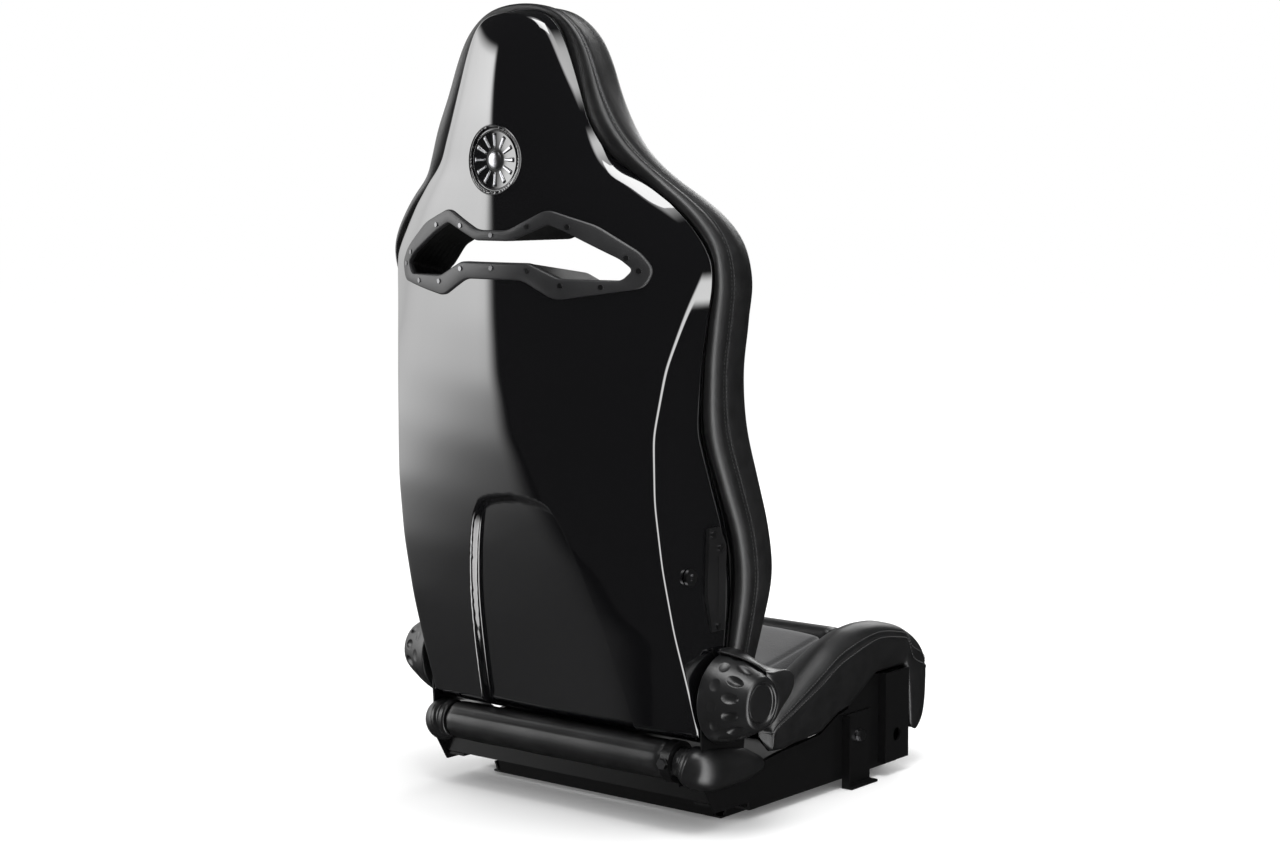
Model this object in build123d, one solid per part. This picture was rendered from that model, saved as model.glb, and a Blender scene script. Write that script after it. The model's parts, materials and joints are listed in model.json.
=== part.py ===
"""Reclining sport seat with a glossy back shell, a harness slot and a folding backrest.

Frame: millimetres, +Z up, the seat faces -Y, and the occupant's left side is +X.
Origin: centre of the four floor bolts, in the underside of the base pan.
"""

from build123d import *
from math import cos, radians, sin, sqrt
import os

os.makedirs("parts", exist_ok=True)

# ---------------------------------------------------------------- driving dimensions
BACK_Y = 388.0             # rearmost plane of the back shell; depths are measured forward from it
AXIS_DEPTH = 165.0         # recline and fold axis, ahead of the back plane
AXIS_Z = 168.0
SHELL_WALL = 4.0
SHELL_TOP = 1006.0
SHELL_SWING = 61.5         # the shell's lower edge stays inside this radius, clear of the rear roll
SLOT_CLEAR = 1.5           # gap that the padding keeps around the slot liner

PLATE_IN = 225.3           # base side plates, outboard of the shell's flanks
PLATE_OUT = 227.8
RUNNING_GAP = 0.4          # beside the plates and levers

PAN_HALF_WIDTH = 194.0
PAN_REAR_Y = 180.0
PAN_FRONT_Y = -196.0
PAN_SHEET = 2.5
BOLT_SPACING_X = 290.0
BOLT_SPACING_Y = 300.0
BOLT_HOLE_R = 4.25         # clearance for M8

ROLL_DEPTH = 128.0         # padded rear tube
ROLL_Z = 88.0
ROLL_R = 25.0

BADGE_Z = 828.0
BADGE_R = 41.5

# Curves of the back shell: (height, value) pairs, joined smoothly.
SHELL_HALF_WIDTH = ((127, 223), (190, 222), (260, 219), (340, 216), (420, 213), (500, 212),
                    (580, 222), (640, 236), (680, 246), (705, 248), (725, 238), (745, 223),
                    (770, 199), (800, 162), (815, 141), (830, 125), (870, 105), (910, 91),
                    (950, 75), (985, 59), (1000, 46), (1006, 28))
SHELL_CREASE_DEPTH = ((127, 121), (190, 100), (260, 77), (340, 58), (420, 47), (500, 46),
                      (580, 57), (640, 73), (680, 85), (705, 88), (740, 83), (770, 71),
                      (800, 57), (830, 40), (870, 36), (910, 37), (950, 33), (985, 31), (1006, 29))
SHELL_CENTRE_DEPTH = ((127, 110), (187, 92), (245, 75), (342, 47), (400, 32), (480, 15),
                      (555, 5), (630, 1), (700, 0), (830, 0), (885, 1), (925, 4), (963, 9),
                      (992, 16), (1006, 24))
SHELL_EDGE_DEPTH = ((127, 166), (190, 170), (230, 177), (290, 186), (350, 181), (390, 171),
                    (430, 155), (470, 138), (510, 125), (590, 115), (670, 105), (750, 92),
                    (790, 81), (830, 59), (870, 46), (950, 50), (1006, 50))
FLANK_DRAFT = ((127, 1.5), (240, 5), (340, 9), (700, 12), (830, 9), (985, 7), (1006, 5))

# Leather outline: outer half width and its depth, for bolsters and head.
LEATHER_HALF_WIDTH = ((190, 236), (310, 243), (430, 240), (510, 238), (580, 247), (640, 260),
                      (700, 270), (740, 253), (785, 214), (825, 174), (860, 147), (900, 126),
                      (940, 111), (980, 90), (1000, 69), (1018, 30))
LEATHER_SIDE_DEPTH = ((190, 213), (230, 222), (310, 237), (390, 223), (430, 209), (510, 178),
                      (590, 163), (670, 153), (710, 141), (750, 137), (790, 123), (830, 101),
                      (870, 78), (950, 70), (1018, 66))
PAD_FRONT_DEPTH = ((190, 198), (250, 178), (320, 156), (400, 134), (500, 112), (640, 102),
                   (780, 104), (860, 108), (940, 108), (1018, 86))
PAD_REAR_DEPTH = ((190, 168), (250, 138), (320, 108), (400, 84), (500, 66), (640, 70), (700, 72))

# Harness slot, seen along Y: one half of the outline as (X, Z), from the centre outward.
SLOT_HALF = ((0, 730), (28, 730), (81, 751), (106, 741), (170, 710), (184, 698), (172, 685),
             (97, 686), (54, 704), (0, 704))
BEZEL_HALF = ((0, 743), (25, 743), (80, 769), (141, 749), (192, 717), (207, 698), (197, 676),
              (157, 662), (91, 660), (46, 683), (0, 683))

# Arched recess low on the shell: half width of its mouth by height.
ARCH_APEX_Z = 415.0
ARCH_HALF_WIDTH = ((120, 129), (167, 123), (226, 114), (284, 103), (342, 87), (381, 73), (400, 60))
ARCH_DEPTH = 13.0

# Cover plate and pivot bolt on each flank, as (depth, height).
COVER_OUTLINE = ((140, 381), (160, 381), (174, 358), (172, 252), (146, 252), (136, 300))
COVER_IN = 221.5
COVER_OUT = 226.5
COVER_GAP = 0.3
BOLT_DEPTH = 107.0
BOLT_Z = 325.0
BOLT_SEAT = 220.6

# Pressed side plate of the base, as (depth, height).
PLATE_TOP_EDGE = ((206, 66), (284, 77), (371, 83), (413, 102), (440, 107), (500, 141), (572, 141))


# ---------------------------------------------------------------- helpers
def ahead(depth):
    """Y of a point this far in front of the back plane."""
    return BACK_Y - depth


def value(curve, z):
    """Read a (height, value) curve at one height."""
    if z <= curve[0][0]:
        return curve[0][1]
    for (z0, v0), (z1, v1) in zip(curve, curve[1:]):
        if z <= z1:
            return v0 + (v1 - v0) * (z - z0) / (z1 - z0)
    return curve[-1][1]


def mirror_x(shape):
    return mirror(shape, about=Plane.YZ)


def side_plate(outline, x_from, x_to):
    """Flat plate from a (depth, height) outline, between two X positions."""
    face = make_face(Polyline(*[(ahead(depth), z) for depth, z in outline], close=True))
    return extrude(Plane.YZ.offset(x_from) * face, amount=x_to - x_from)


def cylinder_x(depth, z, radius, x_from, x_to):
    """Cylinder along X."""
    disc = Pos(ahead(depth), z) * Circle(radius)
    return extrude(Plane.YZ.offset(x_from) * disc, amount=x_to - x_from)


def cylinder_y(x, z, radius, depth_from, depth_to):
    """Cylinder along Y, between two depths."""
    disc = Pos(x, z) * Circle(radius)
    return extrude(Plane.XZ.offset(-ahead(depth_from)) * disc, amount=depth_to - depth_from)


def front_prism(outline, depth_from, depth_to):
    """Prism along Y from a closed (X, Z) outline."""
    face = make_face(Polyline(*outline, close=True))
    return extrude(Plane.XZ.offset(-ahead(depth_from)) * face, amount=depth_to - depth_from)


def block(x_from, x_to, depth_from, depth_to, z_from, z_to):
    size = (abs(x_to - x_from), abs(depth_to - depth_from), abs(z_to - z_from))
    centre = ((x_from + x_to) / 2, ahead((depth_from + depth_to) / 2), (z_from + z_to) / 2)
    return Pos(*centre) * Box(*size)


def hex_bolt_x(depth, z, x_face, length, across=13.0, head=5.5, shank_r=4.0, outward=1):
    """Hexagon bolt along X whose head sits on the plane x_face."""
    head_face = Pos(ahead(depth), z) * RegularPolygon(across / sqrt(3), 6)
    washer = cylinder_x(depth, z, across * 0.68, x_face, x_face + outward * 1.5)
    hexagon = extrude(Plane.YZ.offset(x_face + outward * 1.5) * head_face, amount=outward * head)
    shank = cylinder_x(depth, z, shank_r, x_face - outward * length, x_face)
    return washer + hexagon + shank


def write(name, shape):
    export_step(shape, f"parts/{name}.step")


def write_pair(name, shape):
    """Write the left piece and its mirror image."""
    write(f"{name}_left", shape)
    write(f"{name}_right", mirror_x(shape))


def write_group(name, shapes):
    write(name, Compound(children=list(shapes)))


# ---------------------------------------------------------------- shell form
def shell_section(z, inset):
    """Closed outline of the shell at one height; the inset form is its cavity."""
    width = value(SHELL_HALF_WIDTH, z) - inset
    crease = ahead(value(SHELL_CREASE_DEPTH, z) + inset)
    centre = ahead(value(SHELL_CENTRE_DEPTH, z) + inset)
    edge_width = width + value(FLANK_DRAFT, z)
    edge = ahead(value(SHELL_EDGE_DEPTH, z) + (40 if inset else 0))
    back = ThreePointArc((-width, crease), (0, centre), (width, crease))
    front = Polyline((width, crease), (edge_width, edge), (-edge_width, edge), (-width, crease))
    return Plane.XY.offset(z) * make_face(back + front)


SHELL_HEIGHTS = (127, 190, 260, 340, 420, 500, 580, 640, 680, 705, 725, 745, 770, 800, 815,
                 830, 870, 910, 950, 985, 1000, 1006)


def shell_form(inset=0.0):
    heights = list(SHELL_HEIGHTS)
    if inset:
        heights[0] -= 10
        heights[-2:] = [SHELL_TOP - 2 * inset]
    return loft([shell_section(z, inset) for z in heights], ruled=True)


def slot_prism(half, grow, depth_from, depth_to):
    """Prism of a slot outline along Y; grow moves every side outward."""
    outline = list(half) + [(-x, z) for x, z in reversed(half[1:-1])]
    face = make_face(Polyline(*outline, close=True))
    if grow:
        face = offset(face, amount=grow, kind=Kind.INTERSECTION)
    return extrude(Plane.XZ.offset(-ahead(depth_from)) * face, amount=depth_to - depth_from)


def arch_outline(grow):
    right = [(w + grow, z) for z, w in ARCH_HALF_WIDTH]
    crown = [(38, ARCH_APEX_Z - 5 + grow * 0.9), (0, ARCH_APEX_Z + grow)]
    half = right + crown
    return half + [(-x, z) for x, z in reversed(half[:-1])]


# ---------------------------------------------------------------- backrest shell and its trim
outer_form = shell_form()
cavity_form = shell_form(SHELL_WALL)


def make_back_shell():
    arch_pocket = front_prism(arch_outline(0), -20, 160) - Pos(0, -ARCH_DEPTH, 0) * outer_form
    arch_wall = front_prism(arch_outline(SHELL_WALL), -20, 160) - Pos(0, -ARCH_DEPTH, 0) * cavity_form
    shell = (outer_form - arch_pocket) - (cavity_form - arch_wall)
    shell -= slot_prism(SLOT_HALF, 0, -20, 120)
    shell -= cylinder_y(0, BADGE_Z, BADGE_R, -20, SHELL_WALL / 2)
    # Round the lower edge off at the swing radius, and clear the recliner housings.
    below = block(-300, 300, 60, 230, 60, AXIS_Z)
    swing = cylinder_x(AXIS_DEPTH, AXIS_Z, SHELL_SWING, -320, 320)
    shell -= below - swing
    shell -= cylinder_x(AXIS_DEPTH, AXIS_Z, 42, -320, 320)
    pocket = flank_cover_prism(COVER_GAP, COVER_IN - COVER_GAP, 250)
    shell -= pocket + mirror_x(pocket)
    for side in (-1, 1):
        shell -= cylinder_x(BOLT_DEPTH, BOLT_Z, 6.2, side * 205, side * 240)
    return shell


def flank_cover_prism(grow, x_from, x_to):
    """Outline of a flank cover as a prism along X; grow moves every side outward."""
    face = make_face(Polyline(*[(ahead(depth), z) for depth, z in COVER_OUTLINE], close=True))
    if grow:
        face = offset(face, amount=grow, kind=Kind.INTERSECTION)
    return extrude(Plane.YZ.offset(x_from) * face, amount=x_to - x_from)


def make_slot_bezel_rear():
    band = slot_prism(BEZEL_HALF, 0, -20, 120) - slot_prism(SLOT_HALF, 0, -30, 130)
    skin = Pos(0, 3.5, 0) * outer_form - Pos(0, 0.1, 0) * outer_form
    return band & skin


def make_slot_liner():
    wall = slot_prism(SLOT_HALF, -0.3, -20, 110) - slot_prism(SLOT_HALF, -2.8, -30, 118)
    return wall & (Pos(0, -SHELL_WALL, 0) * cavity_form)


def make_slot_bezel_front():
    return slot_prism(BEZEL_HALF, 0, 110.5, 115) - slot_prism(SLOT_HALF, -2.8, 90, 130)


def make_bezel_screws():
    """Small screws round the rear bezel."""
    points = [(0, 737), (55, 748), (108, 748), (178, 712), (192, 697), (150, 677), (100, 678),
              (55, 695), (0, 697)]
    screws = []
    for x, z in points:
        for side in ((1, -1) if x else (1,)):
            front = side * x
            drilled = cylinder_y(front, z, 3.0, -20, 90)
            proud = Pos(0, 4.9, 0) * outer_form - Pos(0, 3.55, 0) * outer_form
            screws += (drilled & proud).solids()
    return screws


def make_edge_seal():
    """Rubber strip between the shell's front edge and the leather."""
    sections = []
    for z in SHELL_HEIGHTS[1:-2]:
        width = value(SHELL_HALF_WIDTH, z) + value(FLANK_DRAFT, z) - 1.0
        rear = ahead(value(SHELL_EDGE_DEPTH, z) + 0.3)
        strip = Polyline((width, rear), (width, rear - 5), (width - 4, rear - 5), (width - 4, rear),
                         close=True)
        sections.append(Plane.XY.offset(z) * make_face(strip))
    left = loft(sections, ruled=True) - cylinder_x(AXIS_DEPTH, AXIS_Z, 42, 190, 260)
    top_width = value(SHELL_HALF_WIDTH, 985) + value(FLANK_DRAFT, 985) - 1.0
    rear = ahead(value(SHELL_EDGE_DEPTH, 985) + 0.3)
    crown_outer = Polyline((top_width, 985), (top_width - 10, 998), (30, 1004), (-30, 1004),
                           (10 - top_width, 998), (-top_width, 985))
    crown_inner = Polyline((-top_width, 985), (4 - top_width, 985), (14 - top_width, 994),
                           (-30, 1000), (30, 1000), (top_width - 14, 994), (top_width - 4, 985),
                           (top_width, 985))
    crown = extrude(Plane.XZ.offset(-rear) * make_face(crown_outer + crown_inner), amount=5)
    return left + crown + mirror_x(left)


def make_badge_ring():
    disc = cylinder_y(0, BADGE_Z, BADGE_R - 0.3, -1.5, SHELL_WALL / 2 - 0.1)
    disc -= cylinder_y(0, BADGE_Z, BADGE_R - 6, -5, 10)
    return fillet(disc.edges().filter_by(GeomType.CIRCLE).group_by(Axis.Y)[-1], 0.8)


def make_badge_disc():
    """Plain dished disc with a domed centre and short radial ribs."""
    disc = cylinder_y(0, BADGE_Z, BADGE_R - 6.3, -0.2, SHELL_WALL / 2 - 0.1)
    disc += cylinder_y(0, BADGE_Z, 11, -2.0, 0)
    rib = block(-1.6, 1.6, -1.4, 0, BADGE_Z + 16, BADGE_Z + 30)
    centre_line = Axis((0, 0, BADGE_Z), (0, 1, 0))
    for index in range(12):
        disc += rib.rotate(centre_line, 30 * index)
    return disc


# ---------------------------------------------------------------- backrest frame
FRAME_IN = 190.5
FRAME_OUT = 194.5
FRAME_REAR = ((168, 133), (230, 122), (300, 95), (400, 74), (500, 58), (640, 58))
FRAME_FRONT = ((640, 92), (500, 94), (400, 113), (300, 138), (230, 166), (168, 197))
LOWER_TUBE = (144, 222)    # (depth, height) of each cross tube
UPPER_TUBE = (75, 618)
SPRING_HALF = 188.0        # half length of the spring wires


def make_frame_side():
    """Pressed side member, from the fold pivot up to the shoulders."""
    outline = [(depth, z) for z, depth in FRAME_REAR + FRAME_FRONT]
    member = side_plate(outline, FRAME_IN, FRAME_OUT)
    member += cylinder_x(AXIS_DEPTH, AXIS_Z, 32, FRAME_IN, FRAME_OUT)
    member -= cylinder_x(AXIS_DEPTH, AXIS_Z, 20.05, 180, 200)
    for depth, z in ((100, 350), (87, 430), (76, 530)):
        member -= cylinder_x(depth, z, 9, 180, 200)
    member -= cylinder_x(*LOWER_TUBE, 10, 180, 200)
    member -= cylinder_x(*UPPER_TUBE, 9, 180, 200)
    return member


def make_fold_bush():
    bush = cylinder_x(AXIS_DEPTH, AXIS_Z, 20, FRAME_IN, FRAME_OUT)
    return bush - cylinder_x(AXIS_DEPTH, AXIS_Z, 16.05, 180, 200)


def make_frame_tube(depth, z, radius, wall=2.0):
    tube = cylinder_x(depth, z, radius, -FRAME_OUT, FRAME_OUT)
    return tube - cylinder_x(depth, z, radius - wall, -200, 200)


def make_back_springs():
    """Four spring wires across the frame, behind the centre pad."""
    wires = []
    for z in (300, 370, 450, 530):
        levels = [z] + [z + 10 * (-1) ** step for step in range(1, 8)] + [z]
        points = [(-SPRING_HALF + step * SPRING_HALF / 4, ahead(value(PAD_REAR_DEPTH, level) - 8), level)
                  for step, level in enumerate(levels)]
        path = Spline(*points)
        wires.append(sweep((path ^ 0) * Circle(1.8), path=path))
    return wires


def make_lumbar_panel():
    """Curved plastic panel clipped behind the centre pad, low down."""
    outline = [(value(PAD_REAR_DEPTH, z) - 2.5, z) for z in (255, 320, 400, 440)]
    outline += [(depth - 2, z) for depth, z in reversed(outline)]
    panel = side_plate(outline, -120, 120)
    return panel


def make_release_cable():
    """Cable that links the two fold latches, in front of the springs and under the pad."""
    path = Spline((-186, ahead(150), 240), (-150, ahead(118), 246), (0, ahead(108), 246),
                  (150, ahead(118), 246), (186, ahead(150), 240))
    return sweep((path ^ 0) * Circle(2.5), path=path)


def make_flank_cover():
    """Black cover plate in the shell's flank, with a slot down its middle."""
    plate = flank_cover_prism(0, COVER_IN, COVER_OUT)
    return plate - block(COVER_OUT - 0.5, COVER_OUT + 5, 151, 158, 270, 345)


def make_flank_screws():
    screws = [cylinder_x(depth, z, 4.0, COVER_OUT, COVER_OUT + 2.5)
              for depth, z in ((147, 373), (162, 355), (158, 258))]
    return screws + [mirror_x(screw) for screw in screws]


def make_flank_bolts():
    """Pivot bolt through each flank into the frame."""
    bolt = cylinder_x(BOLT_DEPTH, BOLT_Z, 6.0, FRAME_OUT, 222)
    bolt += cylinder_x(BOLT_DEPTH, BOLT_Z, 10.5, BOLT_SEAT, BOLT_SEAT + 4)
    socket = Plane.YZ.offset(BOLT_SEAT + 1.5) * Pos(ahead(BOLT_DEPTH), BOLT_Z) * RegularPolygon(4.6, 6)
    bolt -= extrude(socket, amount=5)
    return [bolt, mirror_x(bolt)]


# ---------------------------------------------------------------- backrest padding
def bolster_section(z, inner):
    """Section of the left side bolster: a thin lip inside the shell, full at its leading edge."""
    outer = value(LEATHER_HALF_WIDTH, z)
    side = value(LEATHER_SIDE_DEPTH, z)
    rear = value(SHELL_EDGE_DEPTH, z) + 6
    front = value(PAD_FRONT_DEPTH, z)
    lip = min(rear, front - 9)
    crest = max(side + 30, front + 12)
    step = 0.52 if z < 650 else 0.2
    span = outer - inner
    points = ((inner, lip), (inner + step * span, lip), (inner + (step + 0.1) * span, rear),
              (outer - 3, rear + 6), (outer, side),
              (inner + 0.86 * span, crest - 8), (inner + 0.64 * span, crest),
              (inner + 0.25 * span, front + 14), (inner, front))
    face = make_face(Polyline(*[(x, ahead(depth)) for x, depth in points], close=True))
    return Plane.XY.offset(z) * face


BOLSTER_INNER = ((200, 152), (560, 152), (630, 166), (662, 214), (720, 214), (750, 190), (772, 178))
PAD_GAP = 3.0              # between the bolsters and the pads beside them


def make_side_bolster():
    heights = (203, 250, 310, 370, 430, 510, 560, 630, 662, 720, 750, 772)
    bolster = loft([bolster_section(z, value(BOLSTER_INNER, z)) for z in heights], ruled=True)
    # Clear of the recliner housing, and outboard of it of the knob.
    bolster -= block(180, 224.5, 100, 214, 195, 216)
    return bolster - block(224.5, 262, 100, 240, 195, 243)


def make_centre_pad():
    heights = (203, 250, 320, 400, 500, 560, 630, 662, 699)
    sections = []
    for z in heights:
        rear = ahead(value(PAD_REAR_DEPTH, z))
        front = ahead(value(PAD_FRONT_DEPTH, z))
        half = value(BOLSTER_INNER, z) - PAD_GAP
        outline = Polyline((-half, rear), (-half, front), (0, front + 6), (half, front),
                           (half, rear), close=True)
        sections.append(Plane.XY.offset(z) * make_face(outline))
    pad = loft(sections, ruled=True)
    pad -= slot_prism(SLOT_HALF, SLOT_CLEAR, -20, 300)
    # The foam is moulded round the frame tubes and rests on the cable.
    pad -= cylinder_x(*LOWER_TUBE, 10.5, -200, 200)
    pad -= cylinder_x(*UPPER_TUBE, 9.5, -200, 200)
    return pad - block(-160, 160, 60, UPPER_TUBE[0], UPPER_TUBE[1] - 9.5, UPPER_TUBE[1] + 9.5)


def make_head_pad():
    heights = (702, 720, 750, 768, 772.4, 774.2, 800, 825, 860, 900, 940, 980, 1000, 1018)
    sections = []
    for z in heights:
        outer = value(BOLSTER_INNER, z) - PAD_GAP if z < 773 else value(LEATHER_HALF_WIDTH, z)
        front_depth = value(PAD_FRONT_DEPTH, z)
        rear_depth = 72 if z < 770 else value(SHELL_EDGE_DEPTH, z) + 8
        side = ahead(max(rear_depth + 4, min(value(LEATHER_SIDE_DEPTH, z), front_depth - 6)))
        rear = ahead(rear_depth)
        front = ahead(front_depth)
        outline = Polyline((outer - 4, rear), (outer, side), (outer * 0.78, front), (-outer * 0.78, front),
                           (-outer, side), (4 - outer, rear), close=True)
        sections.append(Plane.XY.offset(z) * make_face(outline))
    return loft(sections, ruled=True) - slot_prism(SLOT_HALF, SLOT_CLEAR, -20, 300)


# ---------------------------------------------------------------- recliners, knobs and levers
def make_recliner_housing():
    """Round cup on the side plate that holds the recliner gear."""
    cup = cylinder_x(AXIS_DEPTH, AXIS_Z, 38, 204.5, PLATE_IN)
    cup -= cylinder_x(AXIS_DEPTH, AXIS_Z, 34.5, 200, 215)
    return cup - cylinder_x(AXIS_DEPTH, AXIS_Z, 10, 200, 230)


def make_recliner_gear():
    """Toothed output disc inside the housing."""
    teeth = 24
    root_r = 31.5
    gear = cylinder_x(AXIS_DEPTH, AXIS_Z, root_r, 205, 214)
    tooth = block(205, 214, AXIS_DEPTH - 2, AXIS_DEPTH + 2, AXIS_Z + root_r - 2, AXIS_Z + 34)
    centre_line = Axis((0, ahead(AXIS_DEPTH), AXIS_Z), (1, 0, 0))
    for index in range(teeth):
        gear += tooth.rotate(centre_line, 360 / teeth * index)
    gear += cylinder_x(AXIS_DEPTH, AXIS_Z, 22, 200, 205)
    return gear - cylinder_x(AXIS_DEPTH, AXIS_Z, 8, 190, 230)


def make_recliner_arm():
    """Output arm: carries the boss that the backrest folds about."""
    outline = ((140, 176), (139, 218), (151, 226), (162, 222), (172, 205), (186, 180))
    arm = side_plate(outline, 196, 200)
    arm += cylinder_x(AXIS_DEPTH, AXIS_Z, 30, 196, 200)
    arm += cylinder_x(AXIS_DEPTH, AXIS_Z, 16, 189.5, 196)
    return arm - cylinder_x(AXIS_DEPTH, AXIS_Z, 8, 180, 210)


def make_torque_tube():
    tube = cylinder_x(AXIS_DEPTH, AXIS_Z, 12, -189.5, 189.5)
    return tube - cylinder_x(AXIS_DEPTH, AXIS_Z, 9, -195, 195)


SHAFT_R = 6.0
KNOB_INNER = 230.9
KNOB_OUTER = 290.0
KNOB_RIM_R = 57.0
KNOB_FACE_R = 29.0
LEVER_R = 70.0


def make_recliner_shaft():
    return cylinder_x(AXIS_DEPTH, AXIS_Z, SHAFT_R, -262, 262)


def make_knob():
    """Conical knob with two rings of finger scallops and a dished end."""
    centre = (ahead(AXIS_DEPTH), AXIS_Z)
    stations = ((KNOB_INNER, KNOB_RIM_R - 1.5), (KNOB_INNER + 3, KNOB_RIM_R), (246, 53), (262, 46),
                (278, 38), (KNOB_OUTER - 2, 31), (KNOB_OUTER, KNOB_FACE_R))
    discs = [Plane.YZ.offset(x) * Pos(*centre) * Circle(radius) for x, radius in stations]
    knob = loft(discs, ruled=True)
    knob -= cylinder_x(AXIS_DEPTH, AXIS_Z, 24, KNOB_OUTER - 5, KNOB_OUTER + 5)
    knob -= cylinder_x(AXIS_DEPTH, AXIS_Z, 42, KNOB_INNER - 1, KNOB_INNER + 9)
    centre_line = Axis((0, *centre), (1, 0, 0))
    for x_from, x_to, reach, count, phase in ((246, 256, 53, 14, 0), (262, 275, 45, 14, 12.9)):
        scoop = Pos((x_from + x_to) / 2, centre[0], centre[1] + reach) * Box(x_to - x_from, 9, 7)
        for index in range(count):
            knob -= scoop.rotate(centre_line, 360 / count * index + phase)
    return knob - cylinder_x(AXIS_DEPTH, AXIS_Z, SHAFT_R, 220, 262)


def make_knob_cap():
    cap = cylinder_x(AXIS_DEPTH, AXIS_Z, 23.8, KNOB_OUTER - 5, KNOB_OUTER - 3)
    return fillet(cap.edges().group_by(Axis.X)[-1], 0.8)


def make_release_lever():
    """Ring on the recliner boss, with a curved paddle that follows the knob's cone."""
    ring = cylinder_x(AXIS_DEPTH, AXIS_Z, 30, PLATE_OUT + RUNNING_GAP, KNOB_INNER - 0.7)
    arm = [(LEVER_R * cos(radians(a)), LEVER_R * sin(radians(a))) for a in (-8, 10, 30, 50, 70)]
    outline = [(AXIS_DEPTH + y, AXIS_Z + z) for y, z in arm] + [(AXIS_DEPTH - 6, AXIS_Z + 20),
                                                             (AXIS_DEPTH + 8, AXIS_Z - 22)]
    lever = ring + side_plate(outline, PLATE_OUT + RUNNING_GAP, KNOB_INNER - 0.7)
    # The paddle is a shell between two cones about the axis, cut to a sector.
    centre = (ahead(AXIS_DEPTH), AXIS_Z)
    discs = [(PLATE_OUT + RUNNING_GAP, 70), (250, 69), (272, 66), (292, 60)]
    inner = [(PLATE_OUT + 0.3, 65), (250, 64), (272, 60), (293, 54)]
    shell = loft([Plane.YZ.offset(x) * Pos(*centre) * Circle(r) for x, r in discs], ruled=True)
    shell -= loft([Plane.YZ.offset(x) * Pos(*centre) * Circle(r) for x, r in inner], ruled=True)
    sector = side_plate(((AXIS_DEPTH, AXIS_Z), (AXIS_DEPTH + 120, AXIS_Z - 12),
                         (AXIS_DEPTH + 120, AXIS_Z + 90), (AXIS_DEPTH + 45, AXIS_Z + 130)), 220, 300)
    lever += shell & sector
    tip = ((AXIS_DEPTH + 58, AXIS_Z - 4), (AXIS_DEPTH + 92, AXIS_Z + 2), (AXIS_DEPTH + 99, AXIS_Z + 13),
           (AXIS_DEPTH + 88, AXIS_Z + 21), (AXIS_DEPTH + 58, AXIS_Z + 30))
    lever += side_plate(tip, 268, 284) - cylinder_x(AXIS_DEPTH, AXIS_Z, 58.5, 260, 290)
    return lever - cylinder_x(AXIS_DEPTH, AXIS_Z, 13.05, 220, 235)


def make_lever_bush():
    """Flanged boss on the side plate that carries the release lever."""
    bush = cylinder_x(AXIS_DEPTH, AXIS_Z, 13, PLATE_OUT, KNOB_INNER - 0.3)
    return bush - cylinder_x(AXIS_DEPTH, AXIS_Z, SHAFT_R + 2, 220, 240)


# ---------------------------------------------------------------- base
def make_base_pan():
    floor = block(-PAN_HALF_WIDTH, PAN_HALF_WIDTH, ahead(PAN_REAR_Y), ahead(PAN_FRONT_Y), 0, PAN_SHEET)
    rear = side_plate(((ahead(PAN_REAR_Y), 0), (ahead(PAN_REAR_Y) - 9, 34),
                       (ahead(PAN_REAR_Y) - 6.5, 34), (ahead(PAN_REAR_Y) + 3, 0)),
                      12 - PAN_HALF_WIDTH, PAN_HALF_WIDTH - 12)
    front = side_plate(((ahead(PAN_FRONT_Y), 0), (ahead(PAN_FRONT_Y) + 5, 14),
                        (ahead(PAN_FRONT_Y) + 2.5, 14), (ahead(PAN_FRONT_Y) - 3, 0)),
                       6 - PAN_HALF_WIDTH, PAN_HALF_WIDTH - 6)
    lip = make_face(Polyline((PAN_HALF_WIDTH, 0), (PAN_HALF_WIDTH + 5, 12), (PAN_HALF_WIDTH + 2.5, 12),
                             (PAN_HALF_WIDTH - 3, 0), close=True))
    left_lip = extrude(Plane.XZ.offset(-PAN_REAR_Y + 6) * lip, amount=PAN_REAR_Y - PAN_FRONT_Y - 12)
    pan = floor + rear + front + left_lip + mirror_x(left_lip)
    for x in (-1, 1):
        for y in (-1, 1):
            pan -= Pos(x * BOLT_SPACING_X / 2, y * BOLT_SPACING_Y / 2, 0) * Cylinder(BOLT_HOLE_R, 20)
    pan -= Cylinder(45, 20)
    return pan


def make_side_plate():
    """Pressed plate from the recliner to the front brackets, with a foot on the pan."""
    outline = list(PLATE_TOP_EDGE) + [(572, 24), (150, 24), (128, 60), (121, 168), (150, 205)]
    outline = [(209, 168), (212, 110)] + outline + [(180, 205)]
    plate = side_plate(outline, PLATE_IN, PLATE_OUT)
    plate += cylinder_x(AXIS_DEPTH, AXIS_Z, 44, PLATE_IN, PLATE_OUT)
    plate -= cylinder_x(AXIS_DEPTH, AXIS_Z, 10, 220, 235)
    lip_top = list(PLATE_TOP_EDGE[:5])
    lip = lip_top + [(depth, z - 3) for depth, z in reversed(lip_top)]
    plate += side_plate(lip, PLATE_OUT, PLATE_OUT + 4)
    plate -= cylinder_x(464, 66, 4.3, 220, 235)
    foot = block(176, PLATE_OUT, 222, 560, 13, 16)
    riser = block(176, 179, 222, 560, PAN_SHEET, 13)
    skirt = block(PLATE_IN, PLATE_OUT, 222, 560, 13, 26)
    return plate + foot + riser + skirt


def make_foot_bracket():
    """Bolted bracket outside the side plate, standing on the floor."""
    face = block(PLATE_OUT, PLATE_OUT + 3, 429, 491, 0, 98)
    flange = block(PLATE_OUT + 3, PLATE_OUT + 12, 429, 432, 0, 98)
    foot = block(PLATE_OUT + 3, PLATE_OUT + 16, 429, 491, 0, 3)
    bracket = face + flange + foot
    bracket -= cylinder_x(464, 66, 4.3, 220, 240)
    return bracket


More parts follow.
